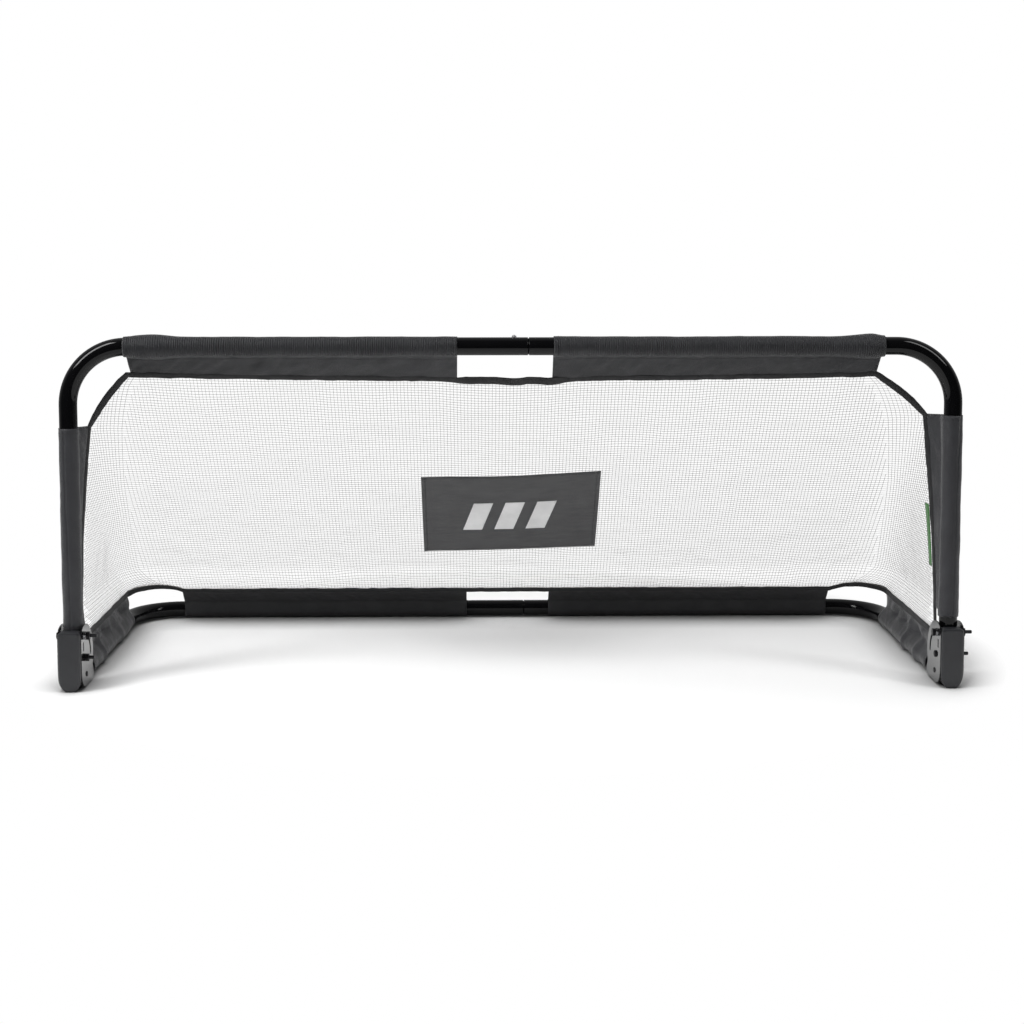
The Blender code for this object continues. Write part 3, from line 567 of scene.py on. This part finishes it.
def corner_border(first, last, control, outward, count):
    """Stations between two others, over a curve that a control point pulls."""
    (p, u), (q, v) = first, last
    stations = []
    for t in np.arange(1, count) / count:
        point = p * (1 - t) ** 2 + control * 2 * t * (1 - t) + q * t**2
        way = u * (1 - t) + v * t + outward * 4 * t * (1 - t)
        stations.append((point, unit(way)))
    return stations


def border(side):
    """The net's border on one side, as points and the way out of the net at each: the
    top from its middle, then the front down to the side tube, then the low part from
    there to the middle of the back bar."""
    mirror = np.array((side, 1, 1))
    end, leg = TOP_END[side], LEG_TOP[side]
    top = [top_border(side, x) for x in np.linspace(0, end, 100)[:-1]]
    first, second = top_border(side, end), leg_border(side, leg)
    control = (first[0] + second[0]) / 2 + TOP_PULL * mirror
    front = [first, *corner_border(first, second, control, TOP_WAY * mirror, 24)]
    front += [leg_border(side, z) for z in np.linspace(leg, LEG_END, 48)]
    last = side_border(side, SIDE_START)
    front += corner_border(front[-1], last, FOOT_PULL * mirror, FOOT_WAY * mirror, 8)
    low = [side_border(side, y) for y in np.linspace(SIDE_START, SIDE_END, 56)]
    last = back_border(side, BACK_END)
    low += corner_border(low[-1], last, BACK_PULL * mirror, BACK_WAY * mirror, 20)
    low += [back_border(side, x) for x in np.linspace(BACK_END, 0, 100)]
    return top, front, low


TAPE_WAVE, TAPE_WAVE_BARE = 0.0013, 0.0024  # in the net's plane, and more where it hangs bare
TAPE_LIFT, TAPE_LIFT_BARE = 0.0012, 0.0020  # out of that plane
TAPE_FINE, TAPE_RAGGED = 0.0010, 0.0006  # small waves, and the uneven inner edge
TAPE_WIDER = 0.45  # share by which the bare part spreads
CORNER_WAVES = 1.4  # share by which the waves grow at the low back corners
TAPE_SEAM = 0.0026  # from the tape's middle


def edge_tape():
    """The tape folded over the net's edge, all the way round, with its stitching."""
    right, left = border(1), border(-1)
    right_run = [s for part in right for s in part]
    left_run = [s for part in left for s in part]
    stations = right_run + list(reversed(left_run[1:-1]))
    points = np.array([s[0] for s in stations])
    ways = np.array([s[1] for s in stations])
    forward = unit(np.roll(points, -1, 0) - np.roll(points, 1, 0))
    normal = unit(np.cross(forward, ways))
    ways = np.cross(normal, forward)
    bare = (1 - smooth(np.abs(points[:, 0]), 0.075, 0.10)) * (points[:, 1] < 0.0)
    bare = bare[:, None]
    waves = np.array([(wander(p, 0.035, 3), wander(p, 0.05, 7)) for p in points])
    fine = np.array([wander(p, 0.011, 13) for p in points])[:, None]
    past_back_bar = smooth(points[:, 1] - FRONT_Y, SIDE_END - 0.005, SIDE_END + 0.010)
    corner = smooth(np.abs(points[:, 0]), BACK_END, BACK_END + 0.016) * past_back_bar
    waves = waves * (1 + CORNER_WAVES * corner[:, None])
    points = points + ways * (waves[:, :1] * (TAPE_WAVE + TAPE_WAVE_BARE * bare) + fine * TAPE_FINE)
    points = points + normal * waves[:, 1:] * (TAPE_LIFT + TAPE_LIFT_BARE * bare)
    turns = np.arange(TAPE_SIDES) * 2 * pi / TAPE_SIDES
    wide = np.sign(np.cos(turns)) * np.abs(np.cos(turns)) ** 0.6 * TAPE_HALF
    thick = np.sign(np.sin(turns)) * np.abs(np.sin(turns)) ** 0.8 * TAPE_THICK
    ragged = np.array([wander(p, 0.0045, 11) for p in points])[:, None] * TAPE_RAGGED
    width = wide * (1 + TAPE_WIDER * bare) + ragged * (wide < 0)
    grid = points[:, None] + ways[:, None] * width[:, :, None] + normal[:, None] * thick[:, None]
    rows, columns, _ = grid.shape
    uv = np.stack(np.broadcast_arrays(reaches(points)[:, None], wide), -1)
    faces = grid_faces(rows + 1, columns, closed=True) % (rows * columns)
    tape = new_object("edge_tape", grid.reshape(-1, 3), faces, TAPE, uv.reshape(-1, 2))
    soft(tape, ["edge_binding"])
    seams = []
    for face, name in ((-1, "inner"), (1, "outer")):
        line = points + ways * TAPE_SEAM + normal * face * (TAPE_THICK + 0.00005)
        seams.append(soft(stitches(f"edge_tape_stitches_{name}", line)))
    return tape, seams


# ---------------------------------------------------------------- the net


def back_point(side, x, v):
    """A point of the net's sloping back, v of the way down it."""
    top, top_way = top_border(side, min(x, TOP_END[side]))
    low, low_way = back_border(side, min(x, BACK_END))
    point = (top - top_way * TAPE_HOLD) * (1 - v) + (low - low_way * TAPE_HOLD) * v
    point = point + INWARD * NET_SAG * 4 * v * (1 - v)
    return np.array((side * x, point[1], point[2]))


LEVELS = 120  # of points down the net
SIDE_COUNT, BEND_COUNT, BACK_COUNT = 16, 20, 30  # points along half a level
CORNER_LOW_X = 0.724  # where the net would turn its low corner if it went right down
CORNER_RISE = 0.010
BEND_BEFORE = 0.14  # along the side, from where the net begins to bend to its corner
BEND_AFTER, BEND_WIDER = 0.06, 0.045  # along the back, and more at its foot
TO_TAPE = 0.86  # way down, past which the levels turn into the tape's own line
BROAD, SMALL = 0.0045, 0.0016  # heights of the net's waves
FOLDS, LOW_FOLDS = 0.0008, 0.0016  # of its upright folds, and more at its foot
UNEVEN, JITTER = 0.0012, 0.0003  # of its cross threads: share of the way down, and height


def net_surface(side):
    """Points of half the net: levels from top to bottom, each from the front border
    along the side, round the corner and along the back to the middle."""
    _, front, low = border(side)
    front = np.array([p - w * TAPE_HOLD for p, w in front])
    top_z, foot_z = front[0, 2], front[-1, 2]
    front = front[np.argsort(front[:, 2])]
    low = np.array([p - w * TAPE_HOLD for p, w in low])
    low_line = resampled(low, SIDE_COUNT + BEND_COUNT + BACK_COUNT)
    surface = []
    for v in np.linspace(0, 1, LEVELS):
        start = at_reach(front, front[:, 2], top_z + (foot_z - top_z) * v)
        reach = TOP_END[side]
        turn_x = reach + (CORNER_LOW_X - reach) * min(1, v * 1.15) ** 0.6
        corner = back_point(side, turn_x, v) + Z * CORNER_RISE * v
        span = corner - start
        before = corner - unit(span) * min(BEND_BEFORE, np.linalg.norm(span) * 0.8)
        after = back_point(side, turn_x - BEND_AFTER - BEND_WIDER * v, v)
        t = np.linspace(0, 1, SIDE_COUNT, endpoint=False)[:, None]
        flank = start * (1 - t) + before * t
        t = np.linspace(0, 1, BEND_COUNT, endpoint=False)[:, None]
        bend = before * (1 - t) ** 2 + corner * 2 * t * (1 - t) + after * t**2
        back = [back_point(side, x, v) for x in np.linspace(abs(after[0]), 0, BACK_COUNT)]
        row = np.concatenate((flank, bend, back))
        share = smooth(v, TO_TAPE, 1.0)
        surface.append(row * (1 - share) + low_line * share)
    surface = np.array(surface)
    v = np.linspace(0, 1, LEVELS)[:, None]
    u = np.arange(surface.shape[1])
    depth = smooth(v, 0, 0.07) * smooth(1 - v, 0, 0.07) * smooth(u, 0, 4)
    side_share = 1 - smooth(u, SIDE_COUNT - 2, SIDE_COUNT + BEND_COUNT)
    for i in range(LEVELS):
        for j, on_side in enumerate(side_share):
            p = surface[i, j]
            waves = wander(p, 0.13, 1) * BROAD + wander(p, 0.045, 5) * SMALL
            narrowed = (p[0] * 5, p[1] * 5, p[2] * 0.8)
            waves += wander(narrowed, 0.11, 9) * (FOLDS + LOW_FOLDS * v[i, 0])
            away = X * side * on_side - INWARD * (1 - on_side)
            surface[i, j] = p + away * waves * (1 - 0.5 * on_side) * depth[i, j]
    return surface


def at_level(surface, v):
    """The net's points v of the way down it, between its two nearest levels."""
    place = np.clip(v, 0, 1) * (LEVELS - 1)
    i = min(int(place), LEVELS - 2)
    return surface[i] * (1 - place + i) + surface[i + 1] * (place - i)


def net_columns(part, spacing, measure):
    """Threads down part of the net, evenly spaced by a measure along its levels."""
    levels = [(measure(row), row) for row in np.concatenate((part[::4], part[-1:]))]
    columns = []
    for place in np.arange(spacing / 2, max(reach[-1] for reach, _ in levels), spacing):
        line = [at_reach(row, reach, place) for reach, row in levels if reach[0] <= place <= reach[-1]]
        if len(line) > 2:
            columns.append(line)
    return columns


def from_middle(row):
    """A level's measure for the back: distance across from the goal's middle."""
    return np.abs(row[:, 0])


def net_rows(*parts):
    """Threads across the net, unevenly spaced and a little wavy, as knitted."""
    rows = []
    count = int(NET_LENGTH / MESH)
    for k in range(count + 1):
        v = k / count
        v += UNEVEN * wander((v, 0, 0), 0.03, 4) * (0 < k < count)
        line = at_level(parts[0], v)
        if len(parts) > 1:
            line = np.concatenate((line[::-1], at_level(parts[1], v)[1:]))
        jitter = np.array([wander(p + Z * v * 7, 0.016, 6) for p in line]) * JITTER
        rows.append(line + Z * jitter[:, None])
    return rows


def net():
    """Three panels of threads: the sloping back and the two sides."""
    panels, backs = [], []
    split = SIDE_COUNT + BEND_COUNT // 2
    for side, label in ((-1, "left"), (1, "right")):
        surface = net_surface(side)
        backs.append(surface[:, split:][:, ::-1])
        flank = surface[:, : split + 1]
        lines = net_rows(flank) + net_columns(flank[:, ::-1], SIDE_MESH, reaches)
        made = thread_tubes(f"net_threads_{label}", lines, THREAD, THREADS, GROOVE)
        panels.append(soft(made, [f"net_{label}"]))
    lines = net_rows(*backs)
    for back in backs:
        lines += net_columns(back, MESH, from_middle)
    made = thread_tubes("net_threads_back", lines, THREAD, THREADS, GROOVE)
    panels.append(soft(made, ["net_back"]))
    return panels


# ---------------------------------------------------------------- label and tag

LABEL_HALF, LABEL_HEIGHT = 0.161, 0.232
LABEL_TOP, LABEL_LOW = 0.3815, 0.755  # shares of the way down the net
LABEL_MIDDLE = 0.001
LABEL_TILT = sin(radians(2.8)) / 0.62
LABEL_LIFT = 0.0032  # of the label's middle over the net's
LABEL_CLOTH = 0.0008
HEM = 0.045  # share of half the label's width
BAR_SPACING, BAR_HALF, BAR_LEAN = 0.36, 0.11, -0.35  # shares of the same
BAR_SPAN = (0.34, 0.70)  # down the label
TAG_PLACE = (0.0625, 0.0815)  # behind the leg's axis
TAG_SPAN = (0.50, 0.745)  # shares of the way down the net
TAG_ROWS, TAG_COLUMNS = 16, 8


def label():
    """Cloth label on the inside of the net, hemmed at its ends, with a plain motif."""

    def place(a, b, lift):
        """a across from -1 to 1, b down from 0 to 1."""
        x = LABEL_MIDDLE + a * LABEL_HALF
        v = LABEL_TOP + (LABEL_LOW - LABEL_TOP) * b - a * LABEL_HALF * LABEL_TILT
        point = back_point(1, abs(x), v)
        point = np.array((x, point[1], point[2])) + INWARD * (LABEL_LIFT + lift)
        return point + INWARD * 0.0009 * wander(point, 0.05, 8)

    def sewn(name, line):
        return soft(stitches(name, line, 0.003, 0.0014, 0.00022))

    def patch(a_range, b_range, lift, rows, columns, lean=0.0):
        grid, uv = [], []
        for a in np.linspace(*a_range, rows):
            line = []
            for b in np.linspace(*b_range, columns):
                shift = lean * (b - 0.5)
                line.append(place(a + shift, b, lift))
                uv.append(((a + shift) * LABEL_HALF, b * LABEL_HEIGHT))
            grid.append(line)
        return np.array(grid), np.array(uv).reshape(rows, columns, 2)

    base = cloth_sheet("label_cloth_panel", *patch((-1, 1), (0, 1), 0, 60, 40), LABEL, LABEL_CLOTH)
    soft(base, ["label_patch"])
    for side, name in ((-1, "left"), (1, "right")):
        hem = patch((side, side * (1 - HEM)), (0.004, 0.996), LABEL_CLOTH + 0.0001, 5, 40)
        made = cloth_sheet(f"label_hem_{name}", *hem, LABEL, 0.0007)
        soft(made)
        line = [place(side * 0.962, b, 0.0014) for b in np.linspace(0.01, 0.99, 60)]
        sewn(f"label_stitches_{name}", line)
    for name, b in (("top", 0.025), ("bottom", 0.975)):
        line = [place(a, b, 0.0005) for a in np.linspace(-0.95, 0.95, 80)]
        sewn(f"label_stitches_{name}", line)
    for index, centre in enumerate((-BAR_SPACING, 0.0, BAR_SPACING)):
        span = (centre - BAR_HALF, centre + BAR_HALF)
        bar = patch(span, BAR_SPAN, 0.0007, 14, 20, lean=BAR_LEAN)
        soft(cloth_sheet(f"label_motif_{index}", *bar, INK, 0.0001))


def tag():
    """Small cloth tag that lies against the right side of the net."""
    surface = net_surface(1)
    grid, uv = [], []
    for v in np.linspace(*TAG_SPAN, TAG_ROWS):
        row = at_level(surface, v)[: SIDE_COUNT + BEND_COUNT // 2]
        for y in np.linspace(*TAG_PLACE, TAG_COLUMNS):
            point = at_reach(row, row[:, 1] - FRONT_Y, y)
            grid.append(point - X * (0.0018 + 0.0012 * sin(y * 160) ** 2))
            uv.append((y, v * 0.45))
    shape = (TAG_ROWS, TAG_COLUMNS, -1)
    grid, uv = np.array(grid).reshape(shape), np.array(uv).reshape(shape)
    made = cloth_sheet("care_tag_cloth", grid, uv, TAG, 0.0006)
    soft(made, ["care_tag"])


# ---------------------------------------------------------------- sleeves


def section(edge, around=40, flap=14):
    """Outline of a sleeve across its tube, from the flap's tip round and back to it.
    Returns along-flap and across-flap distances, and the distance along the cloth."""
    half = 0.0006  # of the flap's thickness
    open_angle = np.arccos(WRAP / SEAM)
    turns = np.linspace(open_angle, 2 * pi - open_angle, around)
    circle = np.stack((np.cos(turns), np.sin(turns)), 1) * WRAP
    out = np.linspace(edge, SEAM, flap)
    join = np.linspace(0, 1, 7)[1:-1, None]
    upper = np.stack((out, np.full(flap, half)), 1)
    lower = upper[::-1] * (1, -1)
    down = upper[-1] * (1 - join) + circle[0] * join
    back = circle[-1] * (1 - join) + lower[0] * join
    line = np.concatenate((upper, down, circle, back, lower))
    for _ in range(6):
        line[1:-1] = line[1:-1] * 0.5 + (line[:-2] + line[2:]) * 0.25
    reach = reaches(line)
    return line, reach - reach[-1] / 2


def sleeve(node, stations, material, body, puff, creases, seed, pleats=()):
    """Cloth wrapped round a tube and sewn to itself, its flap reaching to the tape.

    A station is (tube axis point, flap direction, flap edge from the axis, shift of
    the flap's edge along the tube, bulge away from the tube). A pleat is (place along
    the tube, half-width, height) of a fold that runs across the cloth."""
    name = f"{node}_cloth"
    stations = [(np.asarray(p, float), np.asarray(f, float), e, s, b) for p, f, e, s, b in stations]
    length = np.linalg.norm(stations[-1][0] - stations[0][0])
    axis = (stations[-1][0] - stations[0][0]) / length
    middle = np.mean([s[2] for s in stations])
    reference, reach = section(middle)
    grid, stiff = [], []
    for point, flap, edge, shift, bulge in stations:
        across = np.cross(axis, flap)
        share = np.clip((reference[:, 0] - WRAP) / (middle - WRAP), 0, 1)
        a = np.where(share > 0, WRAP + share * (edge - WRAP), reference[:, 0])
        b = reference[:, 1]
        line = point + a[:, None] * flap + b[:, None] * across + axis * (share * shift)[:, None]
        out = unit(a[:, None] * flap + b[:, None] * across)
        lift = [puff * (0.5 + wander(p, 0.05, seed) + 0.35 * wander(p, 0.014, seed + 1)) for p in line]
        line = line + out * ((1 - share) * (np.array(lift) + bulge))[:, None]
        # Creases of the flap: slow waves and sharper ridges that run across it
        turned = np.stack((axis * 2.2, flap, across))
        fold = np.array([
            wander(p, 0.075, seed + 2) * 0.7 + crease(p @ turned, 0.05, seed + 3)
            for p in (point + a[:, None] * flap + axis * 0.6 * a[:, None])
        ])
        loose = np.sin(pi * share) ** 0.8
        line = line + across * (creases * fold * loose)[:, None]
        travel = (point - stations[0][0]) @ axis
        for place, wide, tall in pleats:
            ridge = tall * np.exp(-(((travel + 0.25 * a - place) / wide) ** 2))
            line = line + out * ((1 - share) * ridge)[:, None]
            line = line - np.sign(point[0]) * X * (ridge * loose)[:, None]
        line[:, 2] = np.maximum(line[:, 2], FLOOR_GAP)
        grid.append(line)
        stiff.append(1 - smooth(share, 0.05, 1.0))
    grid, stiff = np.array(grid), np.array(stiff)
    rows, columns, _ = grid.shape
    travel = np.linspace(0, length, rows)
    uv = np.stack(np.broadcast_arrays(travel[:, None], reach), -1)

    def inside(row, into):
        """The outline one cloth thickness in, moved into the sleeve."""
        point, flap, _, _, _ = stations[row]
        out = grid[row] - point
        radius = np.linalg.norm(out, axis=1, keepdims=True)
        wrap = stiff[row][:, None] > 0.98
        flat = out - (out - (out @ flap)[:, None] * flap) * 0.8
        return point + np.where(wrap, out * (1 - CLOTH_THICKNESS / radius), flat) + axis * into

    lining_start = [inside(0, SLEEVE_LINING), inside(0, 0.0002)]
    lining_end = [inside(-1, -0.0002), inside(-1, -SLEEVE_LINING)]
    grid = np.concatenate((lining_start, grid, lining_end))
    stiff = np.concatenate((stiff[:1], stiff[:1], stiff, stiff[-1:], stiff[-1:]))
    uv = np.concatenate((uv[:1], uv[:1], uv, uv[-1:], uv[-1:]))
    made = new_object(name, grid.reshape(-1, 3), grid_faces(rows + 4, columns), material, uv.reshape(-1, 2))
    follows = body == "front_frame"
    soft(made, [node], stiff.ravel() if follows else None)
    for end, row in (("a", 4), ("b", rows - 1)):
        line = grid[row, 15:-15]
        line = line + unit(line - line.mean(0)) * 0.0001
        seam = stitches(f"{name}_hem_stitches_{end}", line, 0.0035, 0.0015, 0.00024)
        rigid(seam, body)
    lift = np.cross(axis, stations[0][1]) * 0.0002
    for face, column, way in (("front", SEAM_COLUMN, 1), ("back", columns - 1 - SEAM_COLUMN, -1)):
        line = grid[4:rows, column] + lift * way
        seam = stitches(f"{name}_seam_{face}", line, 0.0042, 0.0017, 0.00026)
        seam_stiff = np.full(len(seam.data.vertices), stiff[6, column])
        soft(seam, (), seam_stiff if follows else None)


def spaced(start, end, step=0.004):
    return np.linspace(start, end, int(abs(end - start) / step) + 2)


def sleeves():
    for side, label in ((-1, "left"), (1, "right")):
        start, end = TOP_SLEEVES[side]
        outer_end = max(abs(start), abs(end))
        stations = []
        for x in spaced(start, end):
            swell = np.exp(-(((abs(x) - 0.595) / 0.035) ** 2)) * 0.0042
            bulge = swell * (1 - 0.6 * smooth(abs(x), outer_end - 0.02, outer_end))
            if side < 0:
                shift = 0.010 * (1 - smooth(x, start, start + 0.1)) - 0.004
            else:
                shift = -0.007 * smooth(x, end - 0.1, end)
            stations.append(((x, FRONT_Y, TOP_Z), DOWN, top_reach(x) - TAPE_HOLD, shift, bulge))
        sleeve(f"top_sleeve_{label}", stations, CRIMPED, "front_frame", 0.0008, 0.0030, side * 3)

        low, high, notch = LEG_SLEEVES[side]
        reach = LEG_REACH - TAPE_HOLD
        stations = []
        for z in spaced(low, high):
            shift = notch * (1 - smooth(z, low, low + 0.05)) - 0.010 * smooth(z, high - 0.06, high)
            stations.append(((side * LEG_X, FRONT_Y, z), leg_inward(side, z), reach, shift, 0.0))
        sleeve(f"leg_sleeve_{label}", stations, LEG_CLOTH, "front_frame", 0.0011, 0.0016, side * 5)

        low, far = FRONT_Y + 0.078, BACK_Y - BEND - 0.008
        reach = SIDE_REACH - TAPE_HOLD
        stations = []
        for y in spaced(low, far):
            shift = 0.004 * (1 - smooth(y, low, low + 0.05)) - 0.006 * smooth(y, far - 0.05, far)
            stations.append(((side * LEG_X, y, GROUND_Z), side_up(side), reach, shift, 0.0))
        pleats = PLEATS[side]
        sleeve(f"side_sleeve_{label}", stations, SLEEVE, "ground_frame", 0.0022, 0.0085, side * 7, pleats)

        reach = BACK_REACH - TAPE_HOLD
        places = spaced(*BACK_SLEEVES[side])
        stations = [((x, BACK_Y, GROUND_Z), -DOWN, reach, 0.0, 0.0) for x in places]
        # The back sleeves use the darker copy of the cloth, which is painted shade.
        sleeve(f"back_sleeve_{label}", stations, PAINTED_SHADE_SLEEVE_CLOTH, "ground_frame", 0.0006, 0.001, side * 9)


# ---------------------------------------------------------------- hard CAD pieces

FINISHES = (
    ("bracket_plate", PLATE, 0.0004),
    ("foot_cap", PLASTIC, 0.0009),
    ("guide_washer", ZINC, 0.0002),
    ("spacer", NYLON, 0.0002),
    ("lock_button", STEEL, 0.0002),
    ("spring_clip", STEEL, 0.0001),
    ("bolt", BOLT, 0.0003),
    ("nut", BOLT, 0.0003),
    ("rivet", BOLT, 0.0002),
)


def finish_cad():
    """Materials and rounded edges for the CAD's own hard pieces."""
    for node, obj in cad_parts.items():
        found = [finish for finish in FINISHES if finish[0] in node]
        if not found:
            continue
        _, material, width = found[0]
        obj.data.materials.clear()
        obj.data.materials.append(material)
        bevel = obj.modifiers.new("edges", "BEVEL")
        bevel.width = width
        bevel.segments = 3
        bevel.limit_method = "ANGLE"
        bevel.angle_limit = radians(35)
        bevel.harden_normals = True
        obj.data.polygons.foreach_set("use_smooth", [True] * len(obj.data.polygons))


# ---------------------------------------------------------------- studio


FLOOR_RADIUS, FLOOR_SIDES = 1.6, 96
FLOOR_WHITE = 0.97
PAINTED_SHADOW_REACH = 0.10  # how near things darken the floor's colour with painted contact shadow
# least share of the floor's colour left under the painted contact shadow
PAINTED_SHADOW_LEAST = 0.22
FADE_OVAL = (0.70, 0.60)  # half-axes of the oval round the goal, past which the floor turns white
FADE = (1.18, 1.27)  # the fade's start and end, in those half-axes

LIGHTS = (  # name, place, width, height, watts, whether reflections show it
    ("strip_left", (-2.0, -1.15, 2.05), 0.6, 1.7, 40, True),
    ("strip_right", (2.0, -1.15, 2.05), 0.5, 1.7, 18, True),
    ("front_softbox", (-1.4, -2.1, 2.4), 2.6, 1.2, 32, False),
    ("top_softbox", (-0.3, -0.5, 2.8), 3.6, 2.4, 46, False),
)


SKY = {"From Min": -0.35, "From Max": 0.45, "To Min": 0.02, "To Max": 0.42}  # over +Y

SENSOR, LENS, SHIFT_Y = 36, 61.5, -0.1123
CAMERA_PLACE = (-0.0539, FRONT_Y - 2.8888, 0.7602)
CAMERA_DOWN, CAMERA_TURN = radians(5.374), radians(1.05)


def studio_floor():
    """A pale floor with painted contact shadow, its colour darker where things stand close over it, that
    fades to plain white.
    """
    turns = np.arange(FLOOR_SIDES) * 2 * pi / FLOOR_SIDES
    rim = np.stack((np.cos(turns), np.sin(turns), np.zeros(FLOOR_SIDES)), 1) * FLOOR_RADIUS
    made = Material("studio_floor", (FLOOR_WHITE,) * 3, 0.9)
    # Painted contact shadow: ambient occlusion darkens the floor's base colour near things.
    painted_contact_shadow = made.node("ShaderNodeAmbientOcclusion", samples=8, Distance=PAINTED_SHADOW_REACH)
    shade = made.ramp(painted_contact_shadow.outputs["AO"], 0.25, 0.95, PAINTED_SHADOW_LEAST, 1.0)
    painted_shadow_colour = made.node("ShaderNodeCombineColor")
    for socket in painted_shadow_colour.inputs:
        made.link(made.math("MULTIPLY", shade, FLOOR_WHITE), socket)
    made.link(painted_shadow_colour.outputs[0], made.shader.inputs["Base Color"])
    glow = made.node("ShaderNodeEmission")
    glow.inputs["Color"].default_value = (1, 1, 1, 1)
    oval = made.node("ShaderNodeVectorMath", operation="DIVIDE")
    oval.inputs[1].default_value = (*FADE_OVAL, 1)
    made.link(made.place(False), oval.inputs[0])
    distance = made.node("ShaderNodeVectorMath", operation="LENGTH")
    made.link(oval.outputs[0], distance.inputs[0])
    mix = made.node("ShaderNodeMixShader")
    made.link(made.ramp(distance.outputs["Value"], *FADE, 0.0, 1.0), mix.inputs["Fac"])
    made.link(made.shader.outputs[0], mix.inputs[1])
    made.link(glow.outputs[0], mix.inputs[2])
    made.link(mix.outputs[0], made.tree.nodes["Material Output"].inputs["Surface"])
    new_object("floor", rim, [np.arange(FLOOR_SIDES)], made.material)


def studio_world():
    """White behind the goal, and a dimmer light from the back that falls off to the front."""
    world = bpy.data.worlds.new("studio")
    bpy.context.scene.world = world
    world.use_nodes = True
    tree = world.node_tree
    background = tree.nodes["Background"]
    background.inputs["Color"].default_value = (1, 1, 1, 1)
    place = tree.nodes.new("ShaderNodeTexCoord")
    split = tree.nodes.new("ShaderNodeSeparateXYZ")
    tree.links.new(place.outputs["Generated"], split.inputs[0])
    ramp = tree.nodes.new("ShaderNodeMapRange")
    for key, number in SKY.items():
        ramp.inputs[key].default_value = number
    tree.links.new(split.outputs[1], ramp.inputs["Value"])
    path = tree.nodes.new("ShaderNodeLightPath")
    strength = tree.nodes.new("ShaderNodeMath")
    strength.operation = "MAXIMUM"
    tree.links.new(path.outputs["Is Camera Ray"], strength.inputs[0])
    tree.links.new(ramp.outputs["Result"], strength.inputs[1])
    tree.links.new(strength.outputs[0], background.inputs["Strength"])


def studio_lights():
    target = Vector((0, 0, 0.3))
    for name, location, width, height, power, mirrored in LIGHTS:
        data = bpy.data.lights.new(name, "AREA")
        data.shape = "RECTANGLE"
        data.size, data.size_y, data.energy = width, height, power
        light = bpy.data.objects.new(name, data)
        light.location = location
        light.rotation_euler = (target - Vector(location)).to_track_quat("-Z", "Y").to_euler()
        light.visible_glossy = mirrored
        bpy.context.scene.collection.objects.link(light)


def studio_camera():
    """The photograph's view: from the front, a little above and to the left."""
    data = bpy.data.cameras.new("camera")
    data.sensor_width = SENSOR
    data.lens = LENS
    data.shift_y = SHIFT_Y
    camera = bpy.data.objects.new("camera", data)
    camera.location = CAMERA_PLACE
    camera.rotation_euler = (pi / 2 - CAMERA_DOWN, 0, -CAMERA_TURN)
    bpy.context.scene.collection.objects.link(camera)
    bpy.context.scene.camera = camera
    bpy.context.scene.view_settings.view_transform = "Standard"
    bpy.context.scene.view_settings.look = "None"


# ---------------------------------------------------------------- build

tubes()
sleeves()
tape, tape_seams = edge_tape()
net_left, net_right, net_back = net()
label()
tag()
finish_cad()
studio_floor()
studio_world()
studio_lights()
studio_camera()
